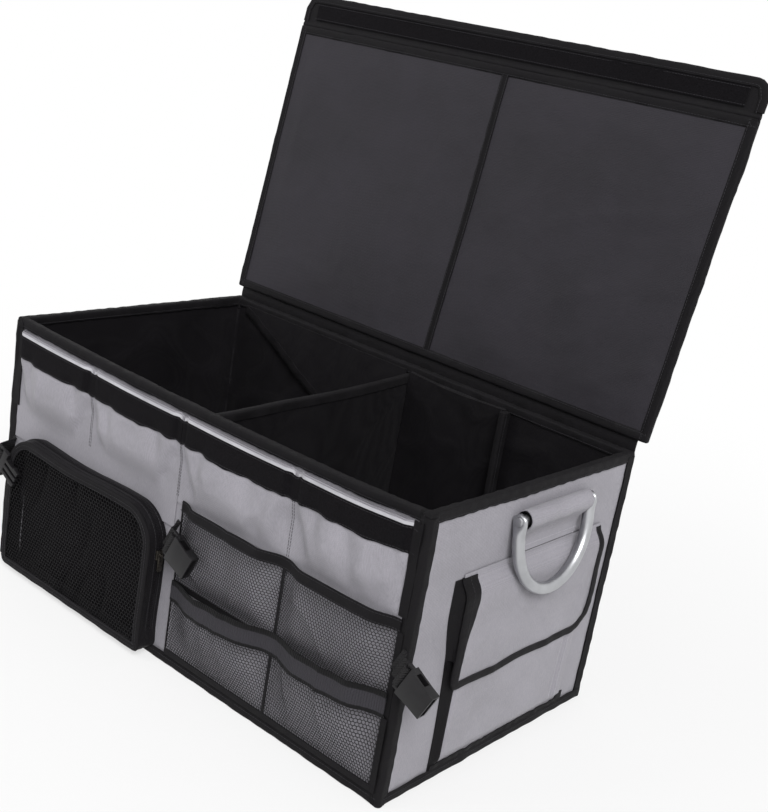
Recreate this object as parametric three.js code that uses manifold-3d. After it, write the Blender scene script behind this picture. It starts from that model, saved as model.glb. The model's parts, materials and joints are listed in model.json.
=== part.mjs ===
// Folding fabric organizer for a car boot: a board-stiffened cloth box with a hinged lid,
// front pockets, a zipped mesh pouch, side-release buckles and two D-handles.
// Millimetres, +Z up, +Y to the rear. The origin is the centre of the base, on the floor.

import * as THREE from 'three';
import { mergeVertices } from 'three/addons/utils/BufferGeometryUtils.js';
import Module from 'manifold-3d';

const wasm = await Module();
wasm.setup();

// Box
const WIDTH = 600;
const DEPTH = 335;
const HEIGHT = 290;

// Cloth, board and tape
const GAP = 0.3;
const CLOTH = 1.2;
const LINING = 0.8;
const BOARD = 3.5;
const TAPE = 1.2;
const RIM_TAPE_WIDTH = 10;
const EDGE_TAPE_WIDTH = 10;
const FOLD_GAP = 6;

// Floor boards and dividers
const FLOOR_BOARD = 4;
const FLOOR_BOARD_PLAY = 2;
const DIVIDER_X = 2;
const DIVIDER_THICKNESS = 5;
const DIVIDER_DROP = 10;
const DIVIDER_TOP = HEIGHT - DIVIDER_DROP;
const DIVIDER_TAPE = 1;
const DIVIDER_TAPE_WIDTH = 10;
const STOWED_THICKNESS = 6;
const STOWED_DROP = 6;
const STOWED_TOP = HEIGHT - STOWED_DROP;
const STOWED_RIGHT_WIDTH = 146;
const STOWED_LEFT_WIDTH = 274;
const STOWED_LEFT_DROP = 157;
const STOWED_EDGE = 8;

// Front pockets: seam places across the front, and their heights
const FRONT_SEAM_INSET = 9;
const SEAM_LEFT = FRONT_SEAM_INSET - WIDTH / 2;
const SEAM_POCKET_1 = -155;
const SEAM_MIDDLE = -10;
const SEAM_POCKET_3 = 148;
const SEAM_RIGHT = WIDTH / 2 - FRONT_SEAM_INSET;
const SEAM_HALF = 2.5;
const BAY_SLOPE = 14;
const MOUTH_BELOW_RIM = 0.5;
const UPPER_TOP = HEIGHT - RIM_TAPE_WIDTH - MOUTH_BELOW_RIM;
const UPPER_MOUTH = 7;
const HEM = 6;
const BOTTOM_RISE = 24;
const BAND_WIDTH = 25;
const BAND = 1;
const STRIP_WIDTH = 4.5;

// Mesh pockets on the right half of the front
const MESH = 1;
const MESH_SEAM_SETBACK = 11;
const MESH_LEFT = SEAM_MIDDLE + MESH_SEAM_SETBACK;
const MESH_UPPER_MOUTH = 8;
const MESH_LOWER_MOUTH = 13;
const MESH_UPPER_BOTTOM = 92;
const MESH_UPPER_TOP = 188;
const MESH_LOWER_BOTTOM = 13;
const MESH_LOWER_TOP_LEFT = 98;
const MESH_LOWER_TOP_RIGHT = 116;
const MESH_TAPE_WIDTH = 12;
const ELASTIC_WIDTH = 22;

// Zipped pouch on the left half of the front
const POUCH_LEFT = -266;
const POUCH_RIGHT = -19;
const POUCH_BOTTOM = 14;
const POUCH_TOP = 165;
const POUCH_DEPTH = 21;
const POUCH_TOP_RADIUS = 38;
const POUCH_BOTTOM_RADIUS = 18;
const PIPING = 3;
const CHAIN_WIDTH = 4;
const CHAIN_PROUD = 1.6;
const SLIDER_LENGTH = 10;
const SLIDER_WIDTH = 8;
const SLIDER_WALL = 1;
const SLIDER_Z = 120;
const PULL_LENGTH = 18;
const PULL_WIDTH = 6;
const PULL_THICKNESS = 1.6;
const PULL_PIN_RADIUS = 0.9;
const PULL_EAR = 2.7;

// Side-release buckles on short webbing loops
const STRAP_ANGLE = -25;
const STRAP_WIDTH = 24;
const STRAP = 1.6;
const STRAP_TAIL = 3;
const BAR_REACH = 14;
const BAR = 3;
const LOOP_INNER = 2.5;
const BUCKLE_WIDTH = 32;
const BUCKLE_ARM = 3;
const SOCKET_LENGTH = 31;
const SOCKET_THICKNESS = 10;
const SOCKET_WAIST = 28;
const SOCKET_WALL = 2;
const SOCKET_CAVITY = 25;
const WINDOW_LENGTH = 12;
const WINDOW_OFFSET = 6;
const PRONG_LENGTH = 24;
const PRONG_WIDTH = 3.6;
const PRONG_HEAD = 9;
const PRONG_BARB = 2.2;
const PLUG_THICKNESS = 5;
const PLUG_BASE = 9;
const GUIDE_WIDTH = 4;
const LEFT_BUCKLE_INSET = 8;
const LEFT_BUCKLE_Z = 139;
const MIDDLE_BUCKLE_SETBACK = 2;
const MIDDLE_BUCKLE_Z = 150;
const RIGHT_BUCKLE_INSET = 3;
const RIGHT_BUCKLE_Z = 152;
const RIGHT_STRAP_RISE = 6;
const STRAP_OVER_POUCH = 1;
const STRAP_OVER_MESH = 2;

// D-handles
const HANDLE_Y = 20;
const HANDLE_BELOW_TOP = 30;
const HANDLE_Z = HEIGHT - HANDLE_BELOW_TOP;
const HANDLE_SPAN = 120;
const HANDLE_DROP = 78;
const HANDLE_TUBE_RADIUS = 6;
const HANDLE_ROD_RADIUS = 5;
const HANDLE_LUG = 5;
const HANDLE_LUG_RADIUS = 8;
const RIGHT_HANDLE_TILT = 8;
const SLEEVE_CLOTH = 3;
const SLEEVE_CLEARANCE = 0.4;
const SLEEVE_END_GAP = 1;
const ROD_PROUD = 2;

// Bellows pocket with a flap on the right wall
const SIDE_FRONT = -98;
const SIDE_REAR = 124;
const SIDE_BOTTOM = 13;
const SIDE_MOUTH = 7.5;
const SIDE_LOWER_DEPTH = 5;
const SIDE_GUSSET = 5;
const FLAP_OVERHANG = 4;
const FLAP_BELOW_HANDLE = 41;
const FLAP_SEAM_TOP = HANDLE_Z - FLAP_BELOW_HANDLE;
const FLAP_SEAM = 7;
const FLAP_FALL = 116;
const FLAP_BOTTOM = FLAP_SEAM_TOP - FLAP_FALL;
const SIDE_BELOW_FLAP = 21;
const SIDE_TOP = FLAP_SEAM_TOP - SIDE_BELOW_FLAP;
const FLAP_TAPE_WIDTH = 10;

// Lid
const LID_OVERHANG = 9;
const LID_WIDTH = WIDTH + 2 * LID_OVERHANG;
const LID_SHIFT = 2;
const LID_BOARD = 3;
const LID_CLOTH = 1;
const LID_TAPE = 1;
const LID_TAPE_WIDTH = 10;
const LID_SEAM_X = 12;
const LID_SEAM_WIDTH = 9;
const LID_OPEN_ANGLE = 100;
const HINGE_CLOTH = 1.2;
const HINGE_BEAD_RADIUS = 1;
const HINGE_HEM = 22;
const HINGE_TONGUE = 6;
const LID_REST_GAP = 0.5;
const LID_FLAP_LENGTH = 35;
const LID_FLAP = 2;
const LID_FLAP_RADIUS = 16;
const LID_FLAP_CLEARANCE = 0.7;
const HOOK_WIDTH = 22;
const HOOK = 1;
const HOOK_SETBACK = 6;

// How far a cutting tool runs past the piece it cuts
const OVERCUT = 1;

// Smoothness of arcs
const ARC_STEPS = 6;
const TUBE_SIDES = 12;
const BOW_STEPS = 18;

// Places worked out from the sizes
const HALF_W = WIDTH / 2;
const HALF_D = DEPTH / 2;
const BOARD_INSET = CLOTH + GAP;
const LINING_INSET = BOARD_INSET + BOARD + GAP;
const WALL = LINING_INSET + LINING;
const WALL_TOP = HEIGHT - TAPE - GAP;
const FLOOR_TOP = CLOTH + GAP + LINING;
const TAPE_PROUD = GAP + TAPE;
const FRONT_BAND_PROUD = GAP + UPPER_MOUTH + CLOTH + GAP + BAND;
const UPPER_BOTTOM = MESH_UPPER_TOP - HEM;
const MESH_BACK = GAP + CLOTH + GAP;

const group = new THREE.Group();
export default group;

// Finishes
const FINISHES = {
  greyCloth: { color: 0x9a9ba1, roughness: 0.75, metalness: 0 },
  blackCloth: { color: 0x17161a, roughness: 0.7, metalness: 0 },
  blackTape: { color: 0x1b1a1c, roughness: 0.85, metalness: 0 },
  board: { color: 0x8c8a84, roughness: 0.9, metalness: 0 },
  mesh: { color: 0x2a292c, roughness: 0.8, metalness: 0 },
  loopBand: { color: 0x1d1c1f, roughness: 1, metalness: 0 },
  reflective: { color: 0xd8dade, roughness: 0.35, metalness: 0.2 },
  elastic: { color: 0x77777b, roughness: 0.85, metalness: 0 },
  plastic: { color: 0x1a1a1c, roughness: 0.4, metalness: 0 },
  zinc: { color: 0x2c2c2e, roughness: 0.35, metalness: 0.8 },
  aluminium: { color: 0xd4d5d8, roughness: 0.3, metalness: 0.9 },
};

function add(name, finish, geometry, parent = group) {
  const mesh = new THREE.Mesh(geometry, new THREE.MeshStandardMaterial(FINISHES[finish]));
  mesh.name = name;
  parent.add(mesh);
}

// Solids
function box(x0, x1, y0, y1, z0, z1) {
  const geometry = new THREE.BoxGeometry(x1 - x0, y1 - y0, z1 - z0);
  return geometry.translate((x0 + x1) / 2, (y0 + y1) / 2, (z0 + z1) / 2);
}

function toSolid(geometry) {
  const bare = geometry.clone();
  bare.deleteAttribute('normal');
  bare.deleteAttribute('uv');
  const merged = mergeVertices(bare, 1e-4);
  const vertProperties = new Float32Array(merged.attributes.position.array);
  const triVerts = new Uint32Array(merged.index.array);
  return new wasm.Manifold(new wasm.Mesh({ numProp: 3, vertProperties, triVerts }));
}

function toGeometry(solid) {
  const mesh = solid.getMesh();
  const geometry = new THREE.BufferGeometry();
  geometry.setAttribute('position', new THREE.BufferAttribute(mesh.vertProperties, 3));
  geometry.setIndex(new THREE.BufferAttribute(mesh.triVerts, 1));
  return geometry;
}

function join(...geometries) {
  return toGeometry(geometries.map(toSolid).reduce((whole, next) => whole.add(next)));
}

function cut(geometry, ...tools) {
  return toGeometry(tools.map(toSolid).reduce((whole, tool) => whole.subtract(tool), toSolid(geometry)));
}

// Extrusions of a flat outline. The outline's two coordinates are y, z or x, z or x, y.
function extrude(shape, depth, steps = ARC_STEPS) {
  return new THREE.ExtrudeGeometry(shape, { depth, bevelEnabled: false, curveSegments: steps });
}

function alongX(shape, x0, x1, steps) {
  const turn = new THREE.Matrix4().makeBasis(
    new THREE.Vector3(0, 1, 0), new THREE.Vector3(0, 0, 1), new THREE.Vector3(1, 0, 0));
  return extrude(shape, x1 - x0, steps).applyMatrix4(turn).translate(x0, 0, 0);
}

function alongY(shape, y0, y1, steps) {
  const turn = new THREE.Matrix4().makeBasis(
    new THREE.Vector3(1, 0, 0), new THREE.Vector3(0, 0, 1), new THREE.Vector3(0, -1, 0));
  return extrude(shape, y1 - y0, steps).applyMatrix4(turn).translate(0, y1, 0);
}

function alongZ(shape, z0, z1, steps) {
  return extrude(shape, z1 - z0, steps).translate(0, 0, z0);
}

function polygon(points) {
  return new THREE.Shape(points.map(([a, b]) => new THREE.Vector2(a, b)));
}

function disc(a, b, radius) {
  return new THREE.Shape().absarc(a, b, radius, 0, 2 * Math.PI);
}

// A rectangle with its own radius at each corner: low left, low right, top right, top left
function roundedRectangle(a0, a1, b0, b1, [lowLeft, lowRight, topRight, topLeft]) {
  const shape = new THREE.Shape();
  const corner = (a, b, radius, quarter) => {
    const start = quarter * Math.PI / 2;
    if (radius > 0) shape.absarc(a, b, radius, start, start + Math.PI / 2);
    else shape.lineTo(a, b);
  };
  shape.moveTo(a0 + lowLeft, b0);
  corner(a1 - lowRight, b0 + lowRight, lowRight, -1);
  corner(a1 - topRight, b1 - topRight, topRight, 0);
  corner(a0 + topLeft, b1 - topLeft, topLeft, 1);
  corner(a0 + lowLeft, b0 + lowLeft, lowLeft, 2);
  return shape;
}

// A folded strip: a line of points with a thickness added to its left side
function stripShape(points, thickness) {
  const line = points.map(([a, b]) => new THREE.Vector2(a, b));
  const edge = line.map((point, i) => {
    const before = line[Math.max(i - 1, 0)];
    const after = line[Math.min(i + 1, line.length - 1)];
    const first = new THREE.Vector2().subVectors(i ? point : after, i ? before : point).normalize();
    const last = new THREE.Vector2().subVectors(i < line.length - 1 ? after : point,
      i < line.length - 1 ? point : before).normalize();
    const normal = new THREE.Vector2(-first.y - last.y, first.x + last.x).normalize();
    const stretch = thickness / (normal.x * -first.y + normal.y * first.x);
    return point.clone().addScaledVector(normal, stretch);
  });
  return new THREE.Shape([...line, ...edge.reverse()]);
}

// A closed sheet between two grids of points. Seen from outside, columns run right and rows run up.
function sheet(columns, rows, inner, outer) {
  const positions = [];
  const faces = [];
  const perSide = columns.length * rows.length;
  for (const side of [outer, inner]) {
    for (const row of rows) {
      for (const column of columns) positions.push(...side(column, row));
    }
  }
  const at = (side, c, r) => side * perSide + r * columns.length + c;
  const quad = (a, b, c, d) => faces.push(a, b, c, a, c, d);
  const lastC = columns.length - 1;
  const lastR = rows.length - 1;
  for (let r = 0; r < lastR; r += 1) {
    for (let c = 0; c < lastC; c += 1) {
      quad(at(0, c, r), at(0, c + 1, r), at(0, c + 1, r + 1), at(0, c, r + 1));
      quad(at(1, c, r), at(1, c, r + 1), at(1, c + 1, r + 1), at(1, c + 1, r));
    }
    quad(at(0, 0, r), at(0, 0, r + 1), at(1, 0, r + 1), at(1, 0, r));
    quad(at(0, lastC, r), at(1, lastC, r), at(1, lastC, r + 1), at(0, lastC, r + 1));
  }
  for (let c = 0; c < lastC; c += 1) {
    quad(at(0, c, 0), at(1, c, 0), at(1, c + 1, 0), at(0, c + 1, 0));
    quad(at(0, c, lastR), at(0, c + 1, lastR), at(1, c + 1, lastR), at(1, c, lastR));
  }
  const geometry = new THREE.BufferGeometry();
  geometry.setAttribute('position', new THREE.Float32BufferAttribute(positions, 3));
  geometry.setIndex(faces);
  return geometry;
}

// How far a cloth panel stands off between its sewn seams: 0 on a seam, 1 in the bay
function bayColumns(seams, slope) {
  const columns = [];
  for (let i = 0; i < seams.length - 1; i += 1) {
    const start = seams[i] + SEAM_HALF;
    const end = seams[i + 1] - SEAM_HALF;
    if (i === 0) columns.push([seams[0], 0]);
    columns.push([start, 0], [start + slope, 1], [end - slope, 1], [end, 0]);
  }
  columns.push([seams.at(-1), 0]);
  return columns;
}

// A panel on the front wall. back is its distance from the wall where it is sewn.
function frontPanel(seams, rows, back, thickness, lean = () => 0) {
  const y = (column, row, extra) => -HALF_D - back - column[1] * row[1] - extra;
  return sheet(bayColumns(seams, BAY_SLOPE), rows,
    (column, row) => [column[0], y(column, row, 0), row[0] + row[2] * lean(column[0])],
    (column, row) => [column[0], y(column, row, thickness), row[0] + row[2] * lean(column[0])]);
}

// Walls: outer cloth, stiffening boards and one sewn lining
function walls() {
  const bottom = CLOTH + GAP;
  const sideY = HALF_D - CLOTH - GAP;
  add('bottom_panel', 'blackCloth', box(-HALF_W, HALF_W, -HALF_D, HALF_D, 0, CLOTH));
  add('front_skin', 'greyCloth', box(-HALF_W, HALF_W, -HALF_D, -HALF_D + CLOTH, bottom, WALL_TOP));
  add('rear_skin', 'greyCloth', box(-HALF_W, HALF_W, HALF_D - CLOTH, HALF_D, bottom, WALL_TOP));
  add('left_skin', 'greyCloth', box(-HALF_W, -HALF_W + CLOTH, -sideY, sideY, bottom, WALL_TOP));
  add('right_skin', 'greyCloth', box(HALF_W - CLOTH, HALF_W, -sideY, sideY, bottom, WALL_TOP));

  const boardX = HALF_W - BOARD_INSET;
  const boardY = HALF_D - BOARD_INSET;
  const fold = FOLD_GAP / 2;
  for (const [side, x0, x1] of [['left', -boardX, -fold], ['right', fold, boardX]]) {
    add(`front_board_${side}`, 'board', box(x0, x1, -boardY, -boardY + BOARD, bottom, WALL_TOP));
    add(`rear_board_${side}`, 'board', box(x0, x1, boardY - BOARD, boardY, bottom, WALL_TOP));
  }
  const endY = boardY - BOARD - GAP;
  add('side_board_left', 'board', box(-boardX, -boardX + BOARD, -endY, endY, bottom, WALL_TOP));
  add('side_board_right', 'board', box(boardX - BOARD, boardX, -endY, endY, bottom, WALL_TOP));

  const outX = HALF_W - LINING_INSET;
  const outY = HALF_D - LINING_INSET;
  const inX = outX - LINING;
  const inY = outY - LINING;
  add('lining', 'blackCloth', cut(box(-outX, outX, -outY, outY, bottom, WALL_TOP),
    box(-inX, inX, -inY, inY, bottom + LINING, WALL_TOP + TAPE)));
}

// Binding tapes: folded over the rim, and along the bottom and upright edges
function bindings() {
  const outX = HALF_W + TAPE_PROUD;
  const outY = HALF_D + TAPE_PROUD;
  const inX = HALF_W - WALL - TAPE_PROUD;
  const inY = HALF_D - WALL - TAPE_PROUD;
  const low = HEIGHT - RIM_TAPE_WIDTH;
  add('rim_binding', 'blackTape', cut(
    box(-outX, outX, -outY, outY, low, HEIGHT),
    box(-inX, inX, -inY, inY, low - OVERCUT, HEIGHT + OVERCUT),
    cut(box(-outX + TAPE, outX - TAPE, -outY + TAPE, outY - TAPE, low - OVERCUT, HEIGHT - TAPE),
      box(-inX - TAPE, inX + TAPE, -inY - TAPE, inY + TAPE, low - 2 * OVERCUT, HEIGHT + OVERCUT))));

  const top = low - GAP;
  const over = top + OVERCUT;
  const hollow = box(-HALF_W - GAP, HALF_W + GAP, -HALF_D - GAP, HALF_D + GAP, -OVERCUT, over);
  const band = EDGE_TAPE_WIDTH;
  const wideY = outY + OVERCUT;
  const wideX = outX + OVERCUT;
  const frontWindow = box(-outX + band, outX - band, -wideY, wideY, band, over);
  const sideWindow = box(-wideX, wideX, -outY + band, outY - band, band, over);
  add('edge_binding', 'blackTape', cut(box(-outX, outX, -outY, outY, 0, top),
    hollow, frontWindow, sideWindow));
}

// Floor boards, the centre divider and the two dividers folded against the rear wall
function interior() {
  const inX = HALF_W - WALL - GAP;
  const inY = HALF_D - WALL - GAP;
  const low = FLOOR_TOP + GAP;
  const half = DIVIDER_THICKNESS / 2;
  const play = FLOOR_BOARD_PLAY;
  for (const [side, x0, x1] of [['left', -inX + play, DIVIDER_X - half - GAP],
    ['right', DIVIDER_X + half + GAP, inX - play]]) {
    add(`floor_board_${side}`, 'blackCloth', box(x0, x1, -inY + play, inY - play, low, low + FLOOR_BOARD));
  }

  const tapeY = inY - TAPE_PROUD;
  const tapeHalf = half + GAP + DIVIDER_TAPE;
  const clothTop = DIVIDER_TOP - DIVIDER_TAPE - GAP;
  const tapeLow = DIVIDER_TOP - DIVIDER_TAPE_WIDTH;
  const x = DIVIDER_X;
  add('centre_divider', 'blackCloth', box(x - half, x + half, -inY, inY, low, clothTop));
  add('divider_binding', 'blackTape', cut(
    box(x - tapeHalf, x + tapeHalf, -tapeY, tapeY, tapeLow, DIVIDER_TOP),
    box(x - half - GAP, x + half + GAP, -inY, inY, tapeLow - TAPE, DIVIDER_TOP - DIVIDER_TAPE)));

  // Above this height the rim tape's inner leg comes down
  const stowedY = inY - TAPE_PROUD;
  const stowedLow = low + FLOOR_BOARD + GAP;
  const rightX = x + tapeHalf + GAP;
  add('stowed_divider_right', 'blackCloth', join(
    box(rightX, rightX + STOWED_RIGHT_WIDTH, stowedY - STOWED_THICKNESS, stowedY, stowedLow, STOWED_TOP),
    box(rightX + STOWED_RIGHT_WIDTH - STOWED_EDGE, rightX + STOWED_RIGHT_WIDTH,
      stowedY - STOWED_THICKNESS - STOWED_EDGE, stowedY, stowedLow, STOWED_TOP)));
  const leftX = x - tapeHalf - GAP;
  const slumped = polygon([[leftX - STOWED_LEFT_WIDTH, STOWED_TOP], [leftX, STOWED_TOP - STOWED_LEFT_DROP],
    [leftX, STOWED_TOP]]);
  add('stowed_divider_left', 'blackCloth', alongY(slumped, stowedY - STOWED_THICKNESS, stowedY));
}

// Upper pockets: a left and a right cloth panel, each sewn into two bays, with a loop band
// and a reflective strip along the mouths
function upperPockets() {
  const rows = [[UPPER_BOTTOM, 0, 0], [UPPER_BOTTOM + HEM, 0, 0],
    [UPPER_BOTTOM + HEM + BOTTOM_RISE, UPPER_MOUTH, 0], [UPPER_TOP, UPPER_MOUTH, 0]];
  const bandTop = UPPER_TOP - STRIP_WIDTH - GAP;
  const onPocket = GAP + CLOTH + GAP;
  const halves = [['left', [SEAM_LEFT, SEAM_POCKET_1, SEAM_MIDDLE - GAP]],
    ['right', [SEAM_MIDDLE + GAP, SEAM_POCKET_3, SEAM_RIGHT]]];
  const flat = (low, high) => [[low, UPPER_MOUTH, 0], [high, UPPER_MOUTH, 0]];
  for (const [side, seams] of halves) {
    add(`upper_pockets_${side}`, 'greyCloth', frontPanel(seams, rows, GAP, CLOTH));
    add(`loop_band_${side}`, 'loopBand',
      frontPanel(seams, flat(bandTop - BAND_WIDTH, bandTop), onPocket, BAND));
  }
  const allSeams = [SEAM_LEFT, SEAM_POCKET_1, SEAM_MIDDLE, SEAM_POCKET_3, SEAM_RIGHT];
  add('reflective_strip', 'reflective',
    frontPanel(allSeams, flat(UPPER_TOP - STRIP_WIDTH, UPPER_TOP), onPocket, BAND));
}

// Two rows of mesh pockets. The lower row lies in front, and its elastic mouth rises to the right.
function meshPockets() {
  const seams = [MESH_LEFT, SEAM_POCKET_3, SEAM_RIGHT];
  const upperRows = [[MESH_UPPER_BOTTOM, 0, 0], [MESH_UPPER_BOTTOM + HEM, 0, 0],
    [MESH_UPPER_BOTTOM + HEM + BOTTOM_RISE, MESH_UPPER_MOUTH, 0], [MESH_UPPER_TOP, MESH_UPPER_MOUTH, 0]];
  add('mesh_pockets_upper', 'mesh', frontPanel(seams, upperRows, MESH_BACK, MESH));
  const onMesh = MESH_BACK + MESH + GAP;
  const mouthRows = [[MESH_UPPER_TOP - MESH_TAPE_WIDTH, MESH_UPPER_MOUTH, 0],
    [MESH_UPPER_TOP, MESH_UPPER_MOUTH, 0]];
  add('mesh_binding_upper', 'blackTape', frontPanel(seams, mouthRows, onMesh, TAPE));

  const rise = MESH_LOWER_TOP_RIGHT - MESH_LOWER_TOP_LEFT;
  const lean = (x) => rise * (x - MESH_LEFT) / (SEAM_RIGHT - MESH_LEFT);
  const lowerRows = [[MESH_LOWER_BOTTOM, 0, 0], [MESH_LOWER_BOTTOM + HEM, 0, 0],
    [MESH_LOWER_BOTTOM + HEM + BOTTOM_RISE, MESH_LOWER_MOUTH, 0],
    [MESH_LOWER_TOP_LEFT, MESH_LOWER_MOUTH, 1]];
  add('mesh_pockets_lower', 'mesh', frontPanel(seams, lowerRows, onMesh, MESH, lean));
  const elasticRows = [[MESH_LOWER_TOP_LEFT - ELASTIC_WIDTH, MESH_LOWER_MOUTH, 1],
    [MESH_LOWER_TOP_LEFT, MESH_LOWER_MOUTH, 1]];
  add('mesh_elastic_lower', 'elastic',
    frontPanel(seams, elasticRows, onMesh + MESH + GAP, TAPE, lean));
}

// Zipped pouch: a gusset round an open-backed pocket, a mesh front in a piped edge, and the zip
function pouchOutline(inset) {
  const top = POUCH_TOP_RADIUS - inset;
  const low = POUCH_BOTTOM_RADIUS - inset;
  return roundedRectangle(POUCH_LEFT + inset, POUCH_RIGHT - inset, POUCH_BOTTOM + inset,
    POUCH_TOP - inset, [low, low, top, top]);
}

function pouchRing(outset, width, y0, y1) {
  const ring = pouchOutline(-outset);
  ring.holes.push(pouchOutline(width - outset));
  return alongY(ring, y0, y1);
}

function pouch() {
  const back = -HALF_D - GAP;
  const front = -HALF_D - POUCH_DEPTH;
  add('pouch_gusset', 'blackCloth', pouchRing(0, CLOTH, front, back));
  add('pouch_piping', 'blackTape', pouchRing(0, PIPING, front - GAP - PIPING, front - GAP));
  const inset = PIPING + GAP;
  add('pouch_mesh', 'mesh', alongY(pouchOutline(inset), front - GAP - PIPING, front - GAP - PIPING + MESH));

  const chainY = -HALF_D - POUCH_DEPTH / 2;
  const chain = pouchRing(GAP + CHAIN_PROUD, CHAIN_PROUD, chainY - CHAIN_WIDTH / 2, chainY + CHAIN_WIDTH / 2);
  const belowZip = POUCH_BOTTOM + POUCH_BOTTOM_RADIUS;
  const reach = WIDTH;
  add('zip_chain', 'zinc', cut(chain, box(-reach, reach, -reach, reach, -reach, belowZip)));

  // The slider straddles the chain on the straight right-hand run
  const x0 = POUCH_RIGHT + GAP;
  const shell = GAP + CHAIN_PROUD + SLIDER_WALL;
  const z0 = SLIDER_Z - SLIDER_LENGTH / 2;
  const z1 = SLIDER_Z + SLIDER_LENGTH / 2;
  const channel = CHAIN_WIDTH / 2 + GAP;
  const earX = x0 + shell + PULL_PIN_RADIUS + 2 * GAP;
  const pinZ = SLIDER_Z;
  add('zip_slider', 'zinc', join(
    cut(box(x0, x0 + shell, chainY - SLIDER_WIDTH / 2, chainY + SLIDER_WIDTH / 2, z0, z1),
      box(x0 - GAP, x0 + CHAIN_PROUD + GAP, chainY - channel, chainY + channel, z0 - GAP, z1 + GAP)),
    box(x0 + shell - GAP, earX + PULL_PIN_RADIUS, chainY - SLIDER_WALL, chainY + SLIDER_WALL,
      pinZ - PULL_EAR / 2, pinZ + PULL_EAR / 2)));

  // The pull tab's fork hangs from the slider's ear and swings about a line along Y
  const fork = SLIDER_WALL + GAP;
  const plate = roundedRectangle(chainY - PULL_WIDTH / 2, chainY + PULL_WIDTH / 2, pinZ - PULL_LENGTH,
    pinZ + PULL_PIN_RADIUS, [PULL_WIDTH / 3, PULL_WIDTH / 3, PULL_PIN_RADIUS, PULL_PIN_RADIUS]);
  const tabX = earX - PULL_THICKNESS / 2;
  add('zip_pull', 'zinc', cut(alongX(plate, tabX, tabX + PULL_THICKNESS, 3),
    box(tabX - GAP, tabX + PULL_THICKNESS + GAP, chainY - fork, chainY + fork,
      pinZ - PULL_EAR, pinZ + PULL_EAR)));
}

// Buckles are drawn flat: x runs along the strap, y across it and z away from the wall
function strapLoop(rise) {
  const outer = LOOP_INNER + STRAP;
  const barZ = rise + outer;
  const half = STRAP_WIDTH / 2;
  const tail = stripShape([[BAR_REACH, rise], [STRAP_TAIL + outer / 2, rise], [STRAP_TAIL / 2, GAP],
    [-STRAP_TAIL, GAP]], -STRAP);
  return cut(join(alongY(disc(BAR_REACH, barZ, outer), -half, half), alongY(tail, -half, half)),
    alongY(disc(BAR_REACH, barZ, LOOP_INNER), -half - GAP, half + GAP));
}

// The bar that the strap goes round, and the two arms that carry it
function buckleFrame(barZ, bodyX) {
  const outerY = BUCKLE_WIDTH / 2;
  const z0 = barZ - BAR / 2;
  const z1 = barZ + BAR / 2;
  const x0 = BAR_REACH - BAR / 2;
  return [box(x0, x0 + BAR, -outerY, outerY, z0, z1),
    box(x0, bodyX + BAR, outerY - BUCKLE_ARM, outerY, z0, z1),
    box(x0, bodyX + BAR, -outerY, -outerY + BUCKLE_ARM, z0, z1)];
}

function socketBuckle(rise) {
  const barZ = rise + LOOP_INNER + STRAP;
  const x0 = BAR_REACH + LOOP_INNER + STRAP + 2 * GAP;
  const x1 = x0 + SOCKET_LENGTH;
  const half = BUCKLE_WIDTH / 2;
  const waist = SOCKET_WAIST / 2;
  const z0 = barZ - SOCKET_THICKNESS / 2;
  const z1 = barZ + SOCKET_THICKNESS / 2;
  const outline = new THREE.Shape();
  outline.moveTo(x0, -half);
  outline.quadraticCurveTo((x0 + x1) / 2, -waist, x1, -half + SOCKET_WALL);
  outline.lineTo(x1, half - SOCKET_WALL);
  outline.quadraticCurveTo((x0 + x1) / 2, waist, x0, half);
  const cavityY = waist - SOCKET_WALL;
  const cavity = box(x1 - SOCKET_CAVITY, x1 + SOCKET_WALL, -cavityY, cavityY,
    z0 + SOCKET_WALL, z1 - SOCKET_WALL);
  const windowX = x0 + WINDOW_OFFSET;
  const window = box(windowX, windowX + WINDOW_LENGTH, -half - GAP, half + GAP,
    z0 + SOCKET_WALL, z1 - SOCKET_WALL);
  return cut(join(alongZ(outline, z0, z1), ...buckleFrame(barZ, x0)), cavity, window);
}

function plugBuckle(rise) {
  const barZ = rise + LOOP_INNER + STRAP;
  const x0 = BAR_REACH + LOOP_INNER + STRAP + 2 * GAP;
  const x1 = x0 + PLUG_BASE;
  const half = BUCKLE_WIDTH / 2;
  const prongY = SOCKET_WAIST / 2 - SOCKET_WALL - PRONG_BARB - GAP;
  const tip = x1 + PRONG_LENGTH;
  const neck = tip - PRONG_HEAD;
  const z0 = barZ - PLUG_THICKNESS / 2;
  const z1 = barZ + PLUG_THICKNESS / 2;
  const prong = (side) => polygon([[x0, side * (prongY - PRONG_WIDTH)], [tip, side * (prongY - PRONG_WIDTH)],
    [tip, side * prongY], [neck, side * (prongY + PRONG_BARB)], [neck, side * prongY],
    [x1, side * prongY], [x0, side * prongY]]);
  return join(box(x0, x1, -half, half, z0, z1), ...buckleFrame(barZ, x0),
    box(x0, tip, -GUIDE_WIDTH / 2, GUIDE_WIDTH / 2, z0, z1),
    alongZ(prong(1), z0, z1), alongZ(prong(-1), z0, z1));
}

// Each strap leaves a seam of the front wall and points down to the right
const BUCKLES = [
  { name: 'left', x: LEFT_BUCKLE_INSET - HALF_W, z: LEFT_BUCKLE_Z, seat: TAPE_PROUD,
    rise: POUCH_DEPTH + STRAP_OVER_POUCH, make: plugBuckle },
  { name: 'middle', x: SEAM_MIDDLE + MIDDLE_BUCKLE_SETBACK, z: MIDDLE_BUCKLE_Z, seat: 0,
    rise: MESH_BACK + MESH_UPPER_MOUTH + MESH + STRAP_OVER_MESH, make: socketBuckle },
  { name: 'right', x: HALF_W - RIGHT_BUCKLE_INSET, z: RIGHT_BUCKLE_Z, seat: MESH_BACK + MESH,
    rise: RIGHT_STRAP_RISE, make: socketBuckle },
];

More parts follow.
